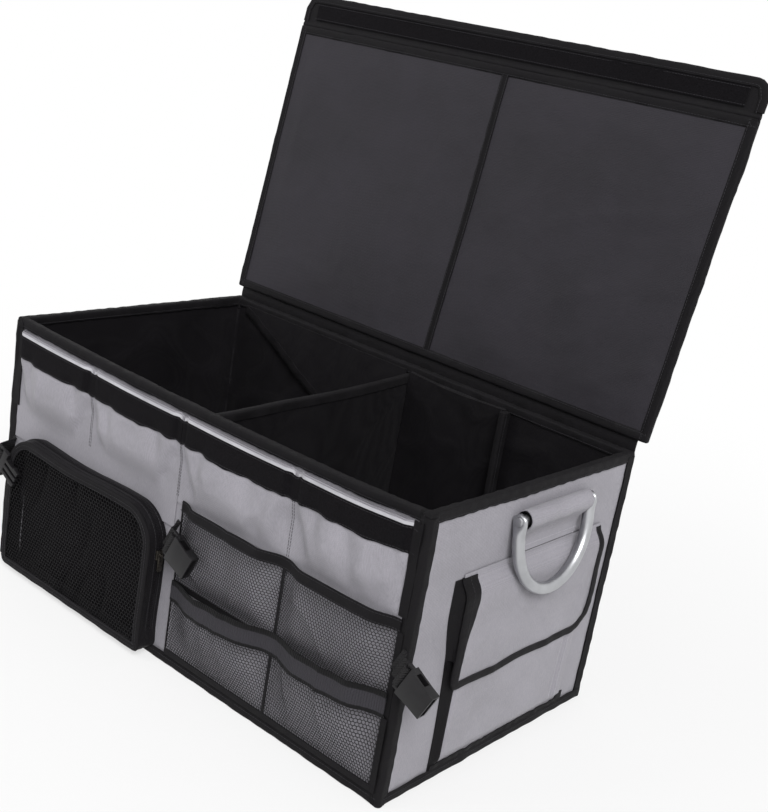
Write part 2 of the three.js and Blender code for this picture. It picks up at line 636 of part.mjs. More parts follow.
function buckles() {
  for (const { name, x, z, seat, rise, make } of BUCKLES) {
    const place = new THREE.Group();
    place.position.set(x, -HALF_D - seat, z);
    place.rotation.set(Math.PI / 2, 0, 0);
    const turn = new THREE.Group();
    turn.rotation.z = THREE.MathUtils.degToRad(STRAP_ANGLE);
    place.add(turn);
    group.add(place);
    add(`strap_loop_${name}`, 'blackTape', strapLoop(rise), turn);
    add(`buckle_${name}`, 'plastic', make(rise), turn);
  }
}

// D-handle: a bent tube with flattened lugs on a rod, and the cloth sleeve that holds the rod.
// Drawn hanging, with the rod's middle at the origin, x out of the wall and y along the wall.
function handleBow() {
  const half = HANDLE_SPAN / 2;
  const straight = HANDLE_DROP - half;
  const path = new THREE.CurvePath();
  const lugEnd = HANDLE_LUG_RADIUS - GAP;
  path.add(new THREE.LineCurve3(new THREE.Vector3(0, -half, -lugEnd),
    new THREE.Vector3(0, -half, -straight)));
  for (let i = 0; i < BOW_STEPS; i += 1) {
    const point = (step) => {
      const angle = Math.PI * step / BOW_STEPS;
      return new THREE.Vector3(0, -half * Math.cos(angle), -straight - half * Math.sin(angle));
    };
    path.add(new THREE.LineCurve3(point(i), point(i + 1)));
  }
  path.add(new THREE.LineCurve3(new THREE.Vector3(0, half, -straight),
    new THREE.Vector3(0, half, -lugEnd)));
  const sides = Array.from({ length: TUBE_SIDES }, (unused, i) => {
    const angle = 2 * Math.PI * i / TUBE_SIDES;
    return [HANDLE_TUBE_RADIUS * Math.cos(angle), HANDLE_TUBE_RADIUS * Math.sin(angle)];
  });
  const tube = new THREE.ExtrudeGeometry(polygon(sides),
    { steps: 2 * BOW_STEPS, bevelEnabled: false, extrudePath: path });
  const lug = (side) => cut(
    alongY(disc(0, 0, HANDLE_LUG_RADIUS), side * half - HANDLE_LUG / 2, side * half + HANDLE_LUG / 2),
    alongY(disc(0, 0, HANDLE_ROD_RADIUS + GAP), side * half - HANDLE_LUG, side * half + HANDLE_LUG));
  return join(tube, lug(-1), lug(1));
}

function handleSleeve(standOff) {
  const inner = HANDLE_ROD_RADIUS + SLEEVE_CLEARANCE;
  const outer = inner + SLEEVE_CLOTH;
  const half = HANDLE_SPAN / 2 - HANDLE_TUBE_RADIUS - SLEEVE_END_GAP;
  const tail = box(-standOff + GAP, -standOff + GAP + SLEEVE_CLOTH, -half, half,
    FLAP_SEAM_TOP + GAP - HANDLE_Z, 0);
  return cut(join(alongY(disc(0, 0, outer), -half, half), tail),
    alongY(disc(0, 0, inner), -half - OVERCUT, half + OVERCUT));
}

function handles() {
  const standOff = GAP + HANDLE_ROD_RADIUS + SLEEVE_CLEARANCE + SLEEVE_CLOTH;
  const rodHalf = HANDLE_SPAN / 2 + HANDLE_LUG / 2 + ROD_PROUD;
  const rod = () => alongY(disc(0, 0, HANDLE_ROD_RADIUS), -rodHalf, rodHalf);
  for (const [side, turn, tilt] of [['right', 0, RIGHT_HANDLE_TILT], ['left', 180, 0]]) {
    const place = new THREE.Group();
    const out = HALF_W + standOff;
    place.position.set(turn ? -out : out, HANDLE_Y, HANDLE_Z);
    place.rotation.z = THREE.MathUtils.degToRad(turn);
    const swing = new THREE.Group();
    swing.rotation.y = -THREE.MathUtils.degToRad(tilt);
    place.add(swing);
    group.add(place);
    add(`handle_bow_${side}`, 'aluminium', handleBow(), swing);
    add(`handle_rod_${side}`, 'aluminium', rod(), swing);
    add(`handle_sleeve_${side}`, 'greyCloth', handleSleeve(standOff), place);
  }
}

// Bellows pocket on the right wall, and its flap with a bound lower edge
function sidePocket() {
  const full = SIDE_MOUTH;
  const edge = SIDE_GUSSET;
  const columns = [[SIDE_FRONT, 0], [SIDE_FRONT + HEM, 0], [SIDE_FRONT + HEM + edge, 1],
    [SIDE_REAR - HEM - edge, 1], [SIDE_REAR - HEM, 0], [SIDE_REAR, 0]];
  const rows = [[SIDE_BOTTOM, 0], [SIDE_BOTTOM + HEM, 0],
    [SIDE_BOTTOM + HEM + edge, SIDE_LOWER_DEPTH], [SIDE_TOP, full]];
  const x = (column, row) => HALF_W + GAP + column[1] * row[1];
  add('side_pocket', 'greyCloth', sheet(columns, rows,
    (column, row) => [x(column, row), column[0], row[0]],
    (column, row) => [x(column, row) + CLOTH, column[0], row[0]]));

  // Outer face of the pocket at a height, which the flap lies on
  const slope = (full - SIDE_LOWER_DEPTH) / (SIDE_TOP - SIDE_BOTTOM - HEM - edge);
  const pocketX = (z) => HALF_W + GAP + full - slope * (SIDE_TOP - z) + CLOTH;
  const crest = SIDE_TOP + 2 * GAP;
  const front = SIDE_FRONT - FLAP_OVERHANG;
  const rear = SIDE_REAR + FLAP_OVERHANG;
  const profile = stripShape([[HALF_W + GAP, FLAP_SEAM_TOP], [HALF_W + GAP, FLAP_SEAM_TOP - FLAP_SEAM],
    [pocketX(crest) + GAP, crest], [pocketX(FLAP_BOTTOM) + GAP, FLAP_BOTTOM]], CLOTH);
  add('side_flap', 'greyCloth', alongY(profile, front, rear));
  const tapeTop = FLAP_BOTTOM + FLAP_TAPE_WIDTH;
  const onFlap = GAP + CLOTH + GAP;
  const tape = stripShape([[pocketX(tapeTop) + onFlap, tapeTop],
    [pocketX(FLAP_BOTTOM) + onFlap, FLAP_BOTTOM]], CLOTH);
  add('side_flap_binding', 'blackTape', alongY(tape, front, rear));
}

// Lid. It is drawn closed about its hinge line: x across, -y towards the free edge, z up.
const LID_STACK = LINING + GAP + LID_BOARD + GAP + LID_CLOTH;
const LID_HALF = LID_STACK / 2 + GAP + LID_TAPE;
const HINGE_Y = HALF_D + TAPE_PROUD + GAP + HINGE_CLOTH / 2;
const HINGE_Z = HEIGHT + LID_REST_GAP + LID_HALF;
const FLAP_LINE = HINGE_Y + HALF_D + FRONT_BAND_PROUD + LID_FLAP_CLEARANCE + HOOK + GAP + LID_FLAP / 2;

// A flat frame of tape folded round the edge of a panel
function foldedTape(x0, x1, y0, y1, halfHeight, tape, width) {
  const over = halfHeight + OVERCUT;
  return cut(box(x0, x1, y0, y1, -halfHeight, halfHeight),
    box(x0 + tape, x1 - tape, y0 + tape, y1 - tape, -halfHeight + tape, halfHeight - tape),
    box(x0 + width, x1 - width, y0 + width, y1 - width, -over, over));
}

function lid(hinge) {
  const half = LID_WIDTH / 2;
  const rear = -(HINGE_BEAD_RADIUS + GAP + HINGE_TONGUE + GAP);
  const front = -(FLAP_LINE - HINGE_BEAD_RADIUS - GAP - HINGE_CLOTH);
  const inset = LID_TAPE + GAP;
  const x0 = -half + inset;
  const x1 = half - inset;
  const y0 = front + inset;
  const y1 = rear - inset;
  const low = -LID_STACK / 2;
  const boardLow = low + LINING + GAP;
  const boardTop = boardLow + LID_BOARD;
  const seam = LID_SEAM_X - LID_SHIFT;
  const fold = FOLD_GAP / 2;
  add('lid_lining', 'blackCloth', box(x0, x1, y0, y1, low, low + LINING), hinge);
  add('lid_cover', 'greyCloth', box(x0, x1, y0, y1, boardTop + GAP, boardTop + GAP + LID_CLOTH), hinge);
  add('lid_board_left', 'board', box(x0, seam - fold, y0, y1, boardLow, boardTop), hinge);
  add('lid_board_right', 'board', box(seam + fold, x1, y0, y1, boardLow, boardTop), hinge);
  add('lid_binding', 'blackTape', join(
    foldedTape(-half, half, front, rear, LID_HALF, LID_TAPE, LID_TAPE_WIDTH),
    box(-half, half, rear - LID_TAPE, rear + GAP + HINGE_TONGUE, -HINGE_CLOTH / 2, HINGE_CLOTH / 2)), hinge);
  const tape = LID_TAPE_WIDTH + GAP;
  add('lid_seam_tape', 'blackTape', box(seam - LID_SEAM_WIDTH / 2, seam + LID_SEAM_WIDTH / 2,
    front + tape, rear - tape, low - GAP - LINING, low - GAP), hinge);

  // The rolled seam that the closing flap folds about, and its tongue into the lid's edge
  const bead = alongX(disc(-FLAP_LINE, 0, HINGE_BEAD_RADIUS), -half, half);
  const tongue = box(-half, half, -FLAP_LINE, front - GAP, -HINGE_CLOTH / 2, HINGE_CLOTH / 2);
  add('lid_flap_seam', 'blackTape', join(bead, tongue), hinge);
}

function lidFlap(fold) {
  const half = LID_WIDTH / 2;
  const root = -(HINGE_BEAD_RADIUS + GAP);
  const tip = -LID_FLAP_LENGTH;
  const r = LID_FLAP_RADIUS;
  const outline = roundedRectangle(-half, half, tip, root, [r, r, 0, 0]);
  add('lid_flap', 'blackCloth', alongZ(outline, -LID_FLAP / 2, LID_FLAP / 2), fold);
  const low = -LID_FLAP / 2 - GAP;
  add('lid_flap_hook', 'loopBand', box(-half + r, half - r, tip + HOOK_SETBACK,
    tip + HOOK_SETBACK + HOOK_WIDTH, low - HOOK, low), fold);
}

function hingeHem() {
  const y0 = HINGE_Y - HINGE_CLOTH / 2;
  const bead = alongX(disc(HINGE_Y, HINGE_Z, HINGE_BEAD_RADIUS), -HALF_W, HALF_W);
  add('lid_hinge_hem', 'blackTape', join(bead,
    box(-HALF_W, HALF_W, y0, y0 + HINGE_CLOTH, HEIGHT - HINGE_HEM, HINGE_Z)));
}

function lidAssembly() {
  const hinge = new THREE.Group();
  hinge.position.set(LID_SHIFT, HINGE_Y, HINGE_Z);
  hinge.rotation.x = -THREE.MathUtils.degToRad(LID_OPEN_ANGLE);
  group.add(hinge);
  lid(hinge);
  const fold = new THREE.Group();
  fold.position.set(0, -FLAP_LINE, 0);
  hinge.add(fold);
  lidFlap(fold);
  hingeHem();
}

walls();
bindings();
interior();
upperPockets();
meshPockets();
pouch();
buckles();
handles();
sidePocket();
lidAssembly();
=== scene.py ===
"""Folding fabric organizer for a car boot: cloth, mesh, tape, buckles and handles round its CAD frame."""

import json
import math

import bmesh
import bpy
import numpy as np
from bpy.props import FloatProperty, FloatVectorProperty, IntProperty, PointerProperty
from mathutils import Matrix, Vector


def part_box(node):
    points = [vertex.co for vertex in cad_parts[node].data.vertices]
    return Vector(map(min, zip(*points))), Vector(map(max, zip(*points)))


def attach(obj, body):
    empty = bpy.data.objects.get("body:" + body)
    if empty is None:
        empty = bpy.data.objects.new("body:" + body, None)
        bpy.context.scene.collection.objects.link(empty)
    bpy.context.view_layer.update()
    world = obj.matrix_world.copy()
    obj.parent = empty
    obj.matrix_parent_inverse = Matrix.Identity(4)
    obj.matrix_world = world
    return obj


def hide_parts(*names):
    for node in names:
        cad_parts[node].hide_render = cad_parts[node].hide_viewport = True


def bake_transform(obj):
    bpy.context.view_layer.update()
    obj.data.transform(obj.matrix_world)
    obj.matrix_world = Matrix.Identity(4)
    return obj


bl_info = {
    "name": "Boot Organizer",
    "version": (1, 0, 0),
    "blender": (4, 5, 0),
    "location": "3D View > Sidebar > Organizer",
    "description": "Dresses the boot organizer's frame in cloth, mesh, tape and metal",
    "category": "Object",
}

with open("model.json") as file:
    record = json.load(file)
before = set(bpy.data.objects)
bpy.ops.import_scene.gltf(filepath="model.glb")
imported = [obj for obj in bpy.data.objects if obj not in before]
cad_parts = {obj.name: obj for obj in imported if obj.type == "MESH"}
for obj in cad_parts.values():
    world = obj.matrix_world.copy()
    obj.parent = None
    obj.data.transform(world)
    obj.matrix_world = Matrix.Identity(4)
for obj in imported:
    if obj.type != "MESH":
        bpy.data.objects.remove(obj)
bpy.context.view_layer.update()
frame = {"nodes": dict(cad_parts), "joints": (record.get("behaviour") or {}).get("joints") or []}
MM = 0.001


def extent(node):
    """Lowest and highest corner of a CAD node, in millimetres."""
    low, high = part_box(node)
    return np.array(low) / MM, np.array(high) / MM


def joint(name):
    return next(j for j in frame["joints"] if j["name"] == name)


# Places read from the frame, in millimetres
FRONT_SKIN = extent("front_skin")
HALF_W = FRONT_SKIN[1][0]
HALF_D = -FRONT_SKIN[0][1]
RIM_TOP = extent("rim_binding")[1][2]
HINGE = np.array(joint("lid_hinge")["pos_m"]) / MM
FLAP_HINGE = np.array(joint("lid_flap_fold")["pos_m"]) / MM
OPEN_ANGLE = math.radians(-joint("lid_hinge")["range_deg"][0])
FLAP_LINE = float(np.hypot(*(FLAP_HINGE - HINGE)[1:]))

X_WAY, Y_WAY, Z_WAY = np.eye(3)
CORNERS = [(sx, sy) for sx in (-1, 1) for sy in (-1, 1)]

# Sewing lines across the front, in millimetres
UPPER_SEAMS = (-291.0, -155.0, -10.0, 148.0, 291.0)
MESH_SEAMS = (1.0, 148.0, 291.0)
SEAM_HALF = 2.5


# Sizes and colours that a user may change

FACTOR = {"subtype": "FACTOR"}
METRES = {"subtype": "DISTANCE", "unit": "LENGTH"}


def number(label, words, value, low, high, **kind):
    return FloatProperty(name=label, description=words, default=value, min=low, max=high, **kind)


class OrganizerSizes(bpy.types.PropertyGroup):
    rim_sag: number("Rim sag", "How far the front rim drops between its corners, in millimetres", 5.0, 0.0, 12.0)
    corner_lift: number("Corner lift", "How far the front right corner of the rim stands up, in millimetres",
                        2.0, 0.0, 10.0)
    wrinkle: number("Wrinkles", "Depth of the creases in the cloth, 1 is as photographed", 1.0, 0.0, 2.0, **FACTOR)
    cell: number("Cloth cell", "Edge of the grid cells that cloth is made of, in millimetres", 6.0, 3.0, 12.0)
    net_pitch: number("Net pitch", "Distance between holes of the pocket mesh, in millimetres", 3.3, 2.0, 6.0)
    net_opening: number("Net opening", "Share of each net cell that is open", 0.85, 0.3, 0.9, **FACTOR)
    pouch_pitch: number("Pouch net pitch", "Distance between holes of the pouch's net, in millimetres",
                        4.4, 2.0, 6.0)
    net_thickness: number("Net thickness", "Thickness of the pocket mesh", 0.0004, 0.0001, 0.002, **METRES)
    stitch_pitch: number("Stitch pitch", "Distance from stitch to stitch", 0.0034, 0.002, 0.008, **METRES)
    stitch_length: number("Stitch length", "Length of one stitch", 0.0024, 0.001, 0.006, **METRES)
    thread: number("Thread", "Radius of the sewing thread", 0.00026, 0.0001, 0.001, **METRES)
    tooth_pitch: number("Tooth pitch", "Distance from zip tooth to zip tooth", 0.0017, 0.001, 0.004, **METRES)
    seed: IntProperty(name="Seed", description="Seed of the creases", default=7, min=0)


def colour(label, words, value):
    return FloatVectorProperty(name=label, description=words, default=value, size=3, min=0.0, max=1.0,
                               subtype="COLOR")


class OrganizerColours(bpy.types.PropertyGroup):
    grey: colour("Grey cloth", "Colour of the outer woven cloth", (0.253, 0.244, 0.270))
    black: colour("Lid cloth", "Colour of the lid's inner cloth", (0.0185, 0.0168, 0.0212))
    lining: colour("Lining cloth", "Colour of the cloth inside the box", (0.0052, 0.0046, 0.0056))
    tape: colour("Binding tape", "Colour of the folded binding tape", (0.0042, 0.0037, 0.0045))
    net: colour("Pocket mesh", "Colour of the knitted net", (0.0062, 0.0057, 0.0070))
    dark_net: colour("Pouch mesh", "Colour of the net on the zipped pouch", (0.0050, 0.0046, 0.0054))
    loop: colour("Loop tape", "Colour of the brushed loop band", (0.0045, 0.0040, 0.0048))
    reflective: colour("Reflective tape", "Colour of the silver strip", (0.40, 0.395, 0.42))
    elastic: colour("Elastic band", "Colour of the middle of the elastic", (0.034, 0.032, 0.038))
    thread: colour("Thread", "Colour of the stitches on black tape", (0.022, 0.021, 0.024))
    plastic: colour("Buckle plastic", "Colour of the buckles", (0.0062, 0.0058, 0.0066))
    aluminium: colour("Handle metal", "Colour of the D-handles", (0.43, 0.435, 0.45))
    zinc: colour("Zip metal", "Colour of the zip's slider and pull", (0.038, 0.034, 0.029))


def sizes():
    return bpy.context.scene.organizer_sizes


def colours():
    return bpy.context.scene.organizer_colours


# Smooth number work

def smooth(t):
    t = np.clip(t, 0.0, 1.0)
    return t * t * (3.0 - 2.0 * t)


def wave(points, size, seed, count=6):
    """Smooth, repeatable unevenness of about plus and minus one, with bumps of about the given size."""
    random = np.random.default_rng(seed + sizes().seed)
    total = np.zeros(points.shape[:-1])
    for _ in range(count):
        way = random.normal(size=3)
        way /= np.linalg.norm(way)
        length = size * random.uniform(1.1, 2.4)
        total += np.sin(2 * np.pi * (points @ way) / length + random.uniform(0, 2 * np.pi))
    return total / math.sqrt(count)


def crease(points, size, seed):
    """Like wave, with narrow ridges and broad valleys, from 0 to about 1."""
    return (1.0 - np.abs(np.clip(wave(points, size, seed), -1, 1))) ** 2.5


def settle(points):
    """The soft set of the standing box: the front rim sags between its corners, and one corner stands up."""
    x, y, z = points[..., 0], points[..., 1], points[..., 2]
    high = smooth((z - 110.0) / 175.0)
    near = smooth((-y - 30.0) / 135.0)
    u = np.clip(x / HALF_W, -1.0, 1.0)
    moved = points.copy()
    moved[..., 2] += (corner_rise(x, y) - sizes().rim_sag * (1.0 - u * u) * near) * high
    return moved


def corner_rise(x, y):
    """How far the front right corner stands up. The closed lid follows it."""
    return sizes().corner_lift * smooth((x - 215.0) / 80.0) * smooth((-y - 30.0) / 135.0)


def line(low, high, step):
    count = max(2, int(round(abs(high - low) / step)) + 1)
    return np.linspace(low, high, count)


def spots(x, y, z):
    """Points from three coordinates, of which any may be a single number."""
    return np.stack(np.broadcast_arrays(x, y, z), -1).astype(float)


def lifted(path, z):
    """A path in the plan, carried to one height."""
    return np.column_stack([path, np.full(len(path), z)])


def looped(ring):
    return np.concatenate([ring, ring[:1]])


def unit(ways):
    return ways / np.linalg.norm(ways, axis=1)[:, None]


def sheet_grid(us, vs, a, b, rest=0.0):
    """A flat grid of points: us along axis a, vs along axis b, the third coordinate at rest."""
    grid = np.full((len(us), len(vs), 3), float(rest))
    grid[..., a], grid[..., b] = us[:, None], vs[None, :]
    return grid


def from_edges(grid, a, b, low, high):
    """How far each point of a flat grid is from the nearest of its four sides."""
    return np.minimum.reduce([grid[..., a] - low[a], high[a] - grid[..., a],
                              grid[..., b] - low[b], high[b] - grid[..., b]])


def upright(path, y):
    """A path of (x, z) pairs in the plane of the front, at one depth."""
    return np.column_stack([path[:, 0], np.full(len(path), float(y)), path[:, 1]])


def rotated(points, axis, angle, centre):
    turn = np.array(Matrix.Rotation(angle, 3, axis))
    return (points - centre) @ turn.T + centre


# Shapes: each is (points in millimetres, faces, one uv in millimetres for each point)

def quads(rows, columns, start=0, closed=False):
    i = np.arange(rows if closed else rows - 1)[:, None]
    j = np.arange(columns - 1)[None, :]
    a = start + i * columns + j
    b = start + ((i + 1) % rows) * columns + j
    return np.stack([a, b, b + 1, a + 1], -1).reshape(-1, 4).tolist()


def grid_uv(grid):
    down = np.linalg.norm(np.diff(grid, axis=0), axis=-1).mean(1)
    across = np.linalg.norm(np.diff(grid, axis=1), axis=-1).mean(0)
    u = np.concatenate([[0], np.cumsum(down)])
    v = np.concatenate([[0], np.cumsum(across)])
    return np.stack(np.broadcast_arrays(u[:, None], v[None, :]), -1).reshape(-1, 2)


def slab(outer, inner, closed=False):
    """A closed sheet between two grids of the same size. A closed one joins its last row to its first."""
    rows, columns = outer.shape[:2]
    points = np.concatenate([outer.reshape(-1, 3), inner.reshape(-1, 3)])
    shift = rows * columns
    faces = quads(rows, columns, 0, closed) + quads(rows, columns, shift, closed)
    run = list(range(rows)) + ([0] if closed else [])
    for j in (0, columns - 1):
        edge = [i * columns + j for i in run]
        faces += [[a, b, b + shift, a + shift] for a, b in zip(edge, edge[1:])]
    if not closed:
        for i in (0, rows - 1):
            edge = [i * columns + j for j in range(columns)]
            faces += [[a, b, b + shift, a + shift] for a, b in zip(edge, edge[1:])]
    uv = grid_uv(outer)
    return points, faces, np.concatenate([uv, uv])


def tube_faces(rows, columns, closed=False):
    """Faces between rings of points that follow each other."""
    faces = []
    for i in range(rows if closed else rows - 1):
        a, b = i * columns, ((i + 1) % rows) * columns
        faces += [[a + j, b + j, b + k, a + k] for j, k in zip(range(columns), [*range(1, columns), 0])]
    return faces


def end_caps(rows, columns):
    return [list(range(columns)), list(range((rows - 1) * columns, rows * columns))]


def sweep(profile, origins, across, up, closed=False):
    """A closed profile of (a, b) pairs carried along stations, with caps unless it closes on itself.
    One direction may serve all the stations."""
    profile = np.asarray(profile, float)
    across, up = (np.broadcast_to(np.asarray(way, float), origins.shape) for way in (across, up))
    grid = (origins[:, None] + across[:, None] * profile[None, :, :1] + up[:, None] * profile[None, :, 1:2])
    rows, columns = grid.shape[:2]
    ring = np.concatenate([grid, grid[:, :1]], axis=1)
    uv = grid_uv(ring).reshape(rows, columns + 1, 2)[:, :columns].reshape(-1, 2)
    faces = tube_faces(rows, columns, closed)
    if not closed:
        faces += end_caps(rows, columns)
    return grid.reshape(-1, 3), faces, uv


def joined(*shapes):
    points, faces, uvs, count = [], [], [], 0
    for shape in shapes:
        points.append(shape[0])
        faces += [[k + count for k in f] for f in shape[1]]
        uvs.append(shape[2])
        count += len(shape[0])
    return np.concatenate(points), faces, np.concatenate(uvs)


def box_slab(node, wrinkle=0.0, size=80.0, seed=0, cell=None, outward=1):
    """The thin box of a CAD node as a gridded sheet. Creases move both faces together, outwards only."""
    low, high = extent(node)
    thin = int(np.argmin(high - low))
    a, b = [k for k in range(3) if k != thin]
    us = line(low[a], high[a], cell or sizes().cell)
    vs = line(low[b], high[b], cell or sizes().cell)
    outer, inner = sheet_grid(us, vs, a, b, high[thin]), sheet_grid(us, vs, a, b, low[thin])
    if wrinkle:
        edge = from_edges(outer, a, b, low, high)
        push = outward * wrinkle * sizes().wrinkle * (0.5 + 0.5 * np.clip(wave(outer, size, seed), -1, 1.4))
        push += outward * 0.5 * wrinkle * sizes().wrinkle * crease(outer, 0.6 * size, seed + 3)
        push *= smooth(edge / 25.0)
        outer[..., thin] += push
        inner[..., thin] += push
    return slab(outer, inner)


def ribbon(points, half):
    """A closed profile of a strip that follows an open line of (a, b) pairs, half of its thickness each way."""
    points = np.asarray(points, float)
    way = unit(np.gradient(points, axis=0))
    side = np.stack([-way[:, 1], way[:, 0]], 1)
    return np.concatenate([points + side * half, (points - side * half)[::-1]])


def arc(centre, radius, start, end, steps=8):
    angles = np.radians(np.linspace(start, end, steps + 1))
    return np.stack([centre[0] + radius * np.cos(angles), centre[1] + radius * np.sin(angles)], 1)


def folded_tape(half, drop, thick, radius, belly, waist, under, steps):
    """The profile of a tape folded over an edge, as an upside-down U about its top."""
    return np.concatenate([
        [(half, -drop), (half + belly, -waist)], arc((half - radius, -radius), radius, 0, 90, steps),
        arc((-half + radius, -radius), radius, 90, 180, steps), [(-half - belly, -waist), (-half, -drop)],
        [(-half + thick, -drop), (-half + thick, -under), (half - thick, -under), (half - thick, -drop)]])


def rounded_path(a0, a1, b0, b1, radii, step=5.0):
    """Points and outward directions round a rectangle, anticlockwise from the low right corner.
    The radii are for the low right, high right, high left and low left corners."""
    corners = [((a1, b0), -90, 0), ((a1, b1), 0, 90), ((a0, b1), 90, 180), ((a0, b0), 180, 270)]
    points, ways = [], []
    for (corner, start, end), radius in zip(corners, radii):
        a = corner[0] - radius * (1 if corner[0] == a1 else -1)
        b = corner[1] - radius * (1 if corner[1] == b1 else -1)
        count = max(3, int(radius / 2.0))
        for angle in np.radians(np.linspace(start, end, count + 1)):
            way = np.array([math.cos(angle), math.sin(angle)])
            points.append(np.array([a, b]) + radius * way)
            ways.append(way)
    filled, facing = [], []
    for k, (point, way) in enumerate(zip(points, ways)):
        after, turned = points[(k + 1) % len(points)], ways[(k + 1) % len(points)]
        count = max(1, int(round(np.linalg.norm(after - point) / step)))
        for t in np.arange(count) / count:
            filled.append(point + (after - point) * t)
            mixed = way + (turned - way) * t
            facing.append(mixed / np.linalg.norm(mixed))
    return np.array(filled), np.array(facing)


# Materials

def lay(nodes, kind, **settings):
    node = nodes.new(kind)
    for key, value in settings.items():
        setattr(node, key, value)
    return node


def fed(tree, kind, inputs, **settings):
    """A node in a tree, whose inputs are given as values or as the outputs of other nodes."""
    node = lay(tree.nodes, kind, **settings)
    for key, value in inputs.items():
        if isinstance(value, bpy.types.NodeSocket):
            tree.links.new(value, node.inputs[key])
        else:
            node.inputs[key].default_value = value
    return node


class Finish:
    """A material being built, with its shader and a few shorthand nodes."""

    def __init__(self, name, base, roughness, metallic=0.0, sheen=0.0, specular=0.5):
        self.material = bpy.data.materials.new(name)
        self.material.use_nodes = True
        self.tree = self.material.node_tree
        self.shader = self.tree.nodes["Principled BSDF"]
        for key, value in (("Base Color", (*base, 1)), ("Roughness", roughness), ("Metallic", metallic),
                           ("Sheen Weight", sheen), ("Sheen Roughness", 0.45), ("Specular IOR Level", specular)):
            self.shader.inputs[key].default_value = value
        self.base = base
        self.place = self.tree.nodes.new("ShaderNodeTexCoord")

    def link(self, a, b):
        self.tree.links.new(a, b)

    def coordinates(self, scale=(1000, 1000, 1000), turn=(0, 0, 0), uv=False):
        source = self.place.outputs["UV" if uv else "Object"]
        return fed(self.tree, "ShaderNodeMapping", {"Scale": scale, "Rotation": turn, "Vector": source}).outputs[0]

    def maths(self, operation, *values):
        return fed(self.tree, "ShaderNodeMath", dict(enumerate(values)), operation=operation).outputs[0]

    def noise(self, vector, scale, detail=3.0, roughness=0.55):
        inputs = {"Scale": scale, "Detail": detail, "Roughness": roughness, "Vector": vector}
        return fed(self.tree, "ShaderNodeTexNoise", inputs).outputs["Fac"]

    def between(self, value, low, high, to_low, to_high):
        inputs = {"Value": value, "From Min": low, "From Max": high, "To Min": to_low, "To Max": to_high}
        return fed(self.tree, "ShaderNodeMapRange", inputs).outputs["Result"]

    def shades(self, value, dark, light):
        """Base colour from value: dark and light are multiples of the base."""
        ends = [(*[min(1, c * share) for c in self.base], 1) for share in (dark, light)]
        node = fed(self.tree, "ShaderNodeMix", {0: value, 6: ends[0], 7: ends[1]}, data_type="RGBA")
        self.link(node.outputs[2], self.shader.inputs["Base Color"])

    def patchy(self, value, dark, light, low=0.3, high=0.7):
        """Shades of the base where value goes from low to high."""
        self.shades(self.between(value, low, high, 0.0, 1.0), dark, light)

    def roughness(self, value, low, high):
        self.link(self.between(value, 0.3, 0.7, low, high), self.shader.inputs["Roughness"])

    def channels(self, vector):
        return fed(self.tree, "ShaderNodeSeparateXYZ", {0: vector}).outputs

    def ribs(self, vector, pitch, channel=0):
        return self.maths("SINE", self.maths("MULTIPLY", self.channels(vector)[channel], 2 * math.pi / pitch))

    def weave(self, vector, pitch):
        """Threads that go over and under on any face that lies along the axes."""
        x, y, z = (self.ribs(vector, pitch, channel) for channel in range(3))
        total = self.maths("ADD", self.maths("MULTIPLY", x, z), self.maths("MULTIPLY", y, z))
        return self.maths("ADD", total, self.maths("MULTIPLY", x, y))

    def bump(self, *layers):
        """Each layer is (height in millimetres, value)."""
        below = None
        for depth, value in layers:
            node = fed(self.tree, "ShaderNodeBump", {"Strength": 1.0, "Distance": depth * MM, "Height": value})
            if below is not None:
                self.link(below, node.inputs["Normal"])
            below = node.outputs["Normal"]
        self.link(below, self.shader.inputs["Normal"])


def grey_oxford():
    f = Finish("grey oxford cloth", colours().grey, 0.58, sheen=0.12, specular=0.30)
    place = f.coordinates()
    weave = f.weave(place, 1.5)
    cloudy = f.noise(place, 0.012, 4.0)
    threads = f.noise(f.coordinates((900, 900, 240)), 0.9, 2.0)
    mixed = f.maths("ADD", f.maths("MULTIPLY", cloudy, 0.45), f.maths("MULTIPLY", threads, 0.35))
    mixed = f.maths("ADD", mixed, f.maths("MULTIPLY", weave, 0.07))
    f.patchy(mixed, 0.80, 1.20, 0.22, 0.62)
    f.roughness(cloudy, 0.56, 0.70)
    f.bump((1.3, f.noise(place, 0.018, 3.0)), (0.35, f.noise(place, 0.07, 3.0)), (0.10, weave))
    return f.material


def black_oxford(name="black oxford cloth", base=None, specular=0.17):
    f = Finish(name, base or colours().black, 0.5, sheen=0.03, specular=specular)
    place = f.coordinates()
    weave = f.weave(place, 1.3)
    cloudy = f.noise(place, 0.010, 4.0)
    mixed = f.maths("ADD", cloudy, f.maths("MULTIPLY", weave, 0.06))
    f.patchy(mixed, 0.82, 1.25)
    f.roughness(cloudy, 0.44, 0.58)
    f.bump((1.6, f.noise(place, 0.014, 3.0)), (0.4, f.noise(place, 0.06, 3.0)), (0.06, weave))
    return f.material


def lining_oxford():
    return black_oxford("lining cloth", colours().lining, 0.10)


def binding_tape():
    f = Finish("binding tape", colours().tape, 0.66, sheen=0.01, specular=0.12)
    along = f.coordinates((1, 1, 1), uv=True)
    place = f.coordinates()
    ribs = f.ribs(along, 1.1)
    worn = f.noise(place, 0.06, 3.0)
    f.patchy(worn, 0.75, 1.45)
    f.roughness(worn, 0.6, 0.8)
    f.bump((0.5, f.noise(place, 0.16, 2.0)), (0.10, ribs))
    return f.material


def loop_tape():
    f = Finish("brushed loop tape", colours().loop, 0.95, sheen=0.01, specular=0.06)
    place = f.coordinates()
    fuzz = f.noise(place, 0.9, 5.0, 0.75)
    f.patchy(fuzz, 0.45, 2.1, 0.35, 0.7)
    f.bump((0.9, fuzz), (0.5, f.noise(place, 0.12, 2.0)))
    return f.material


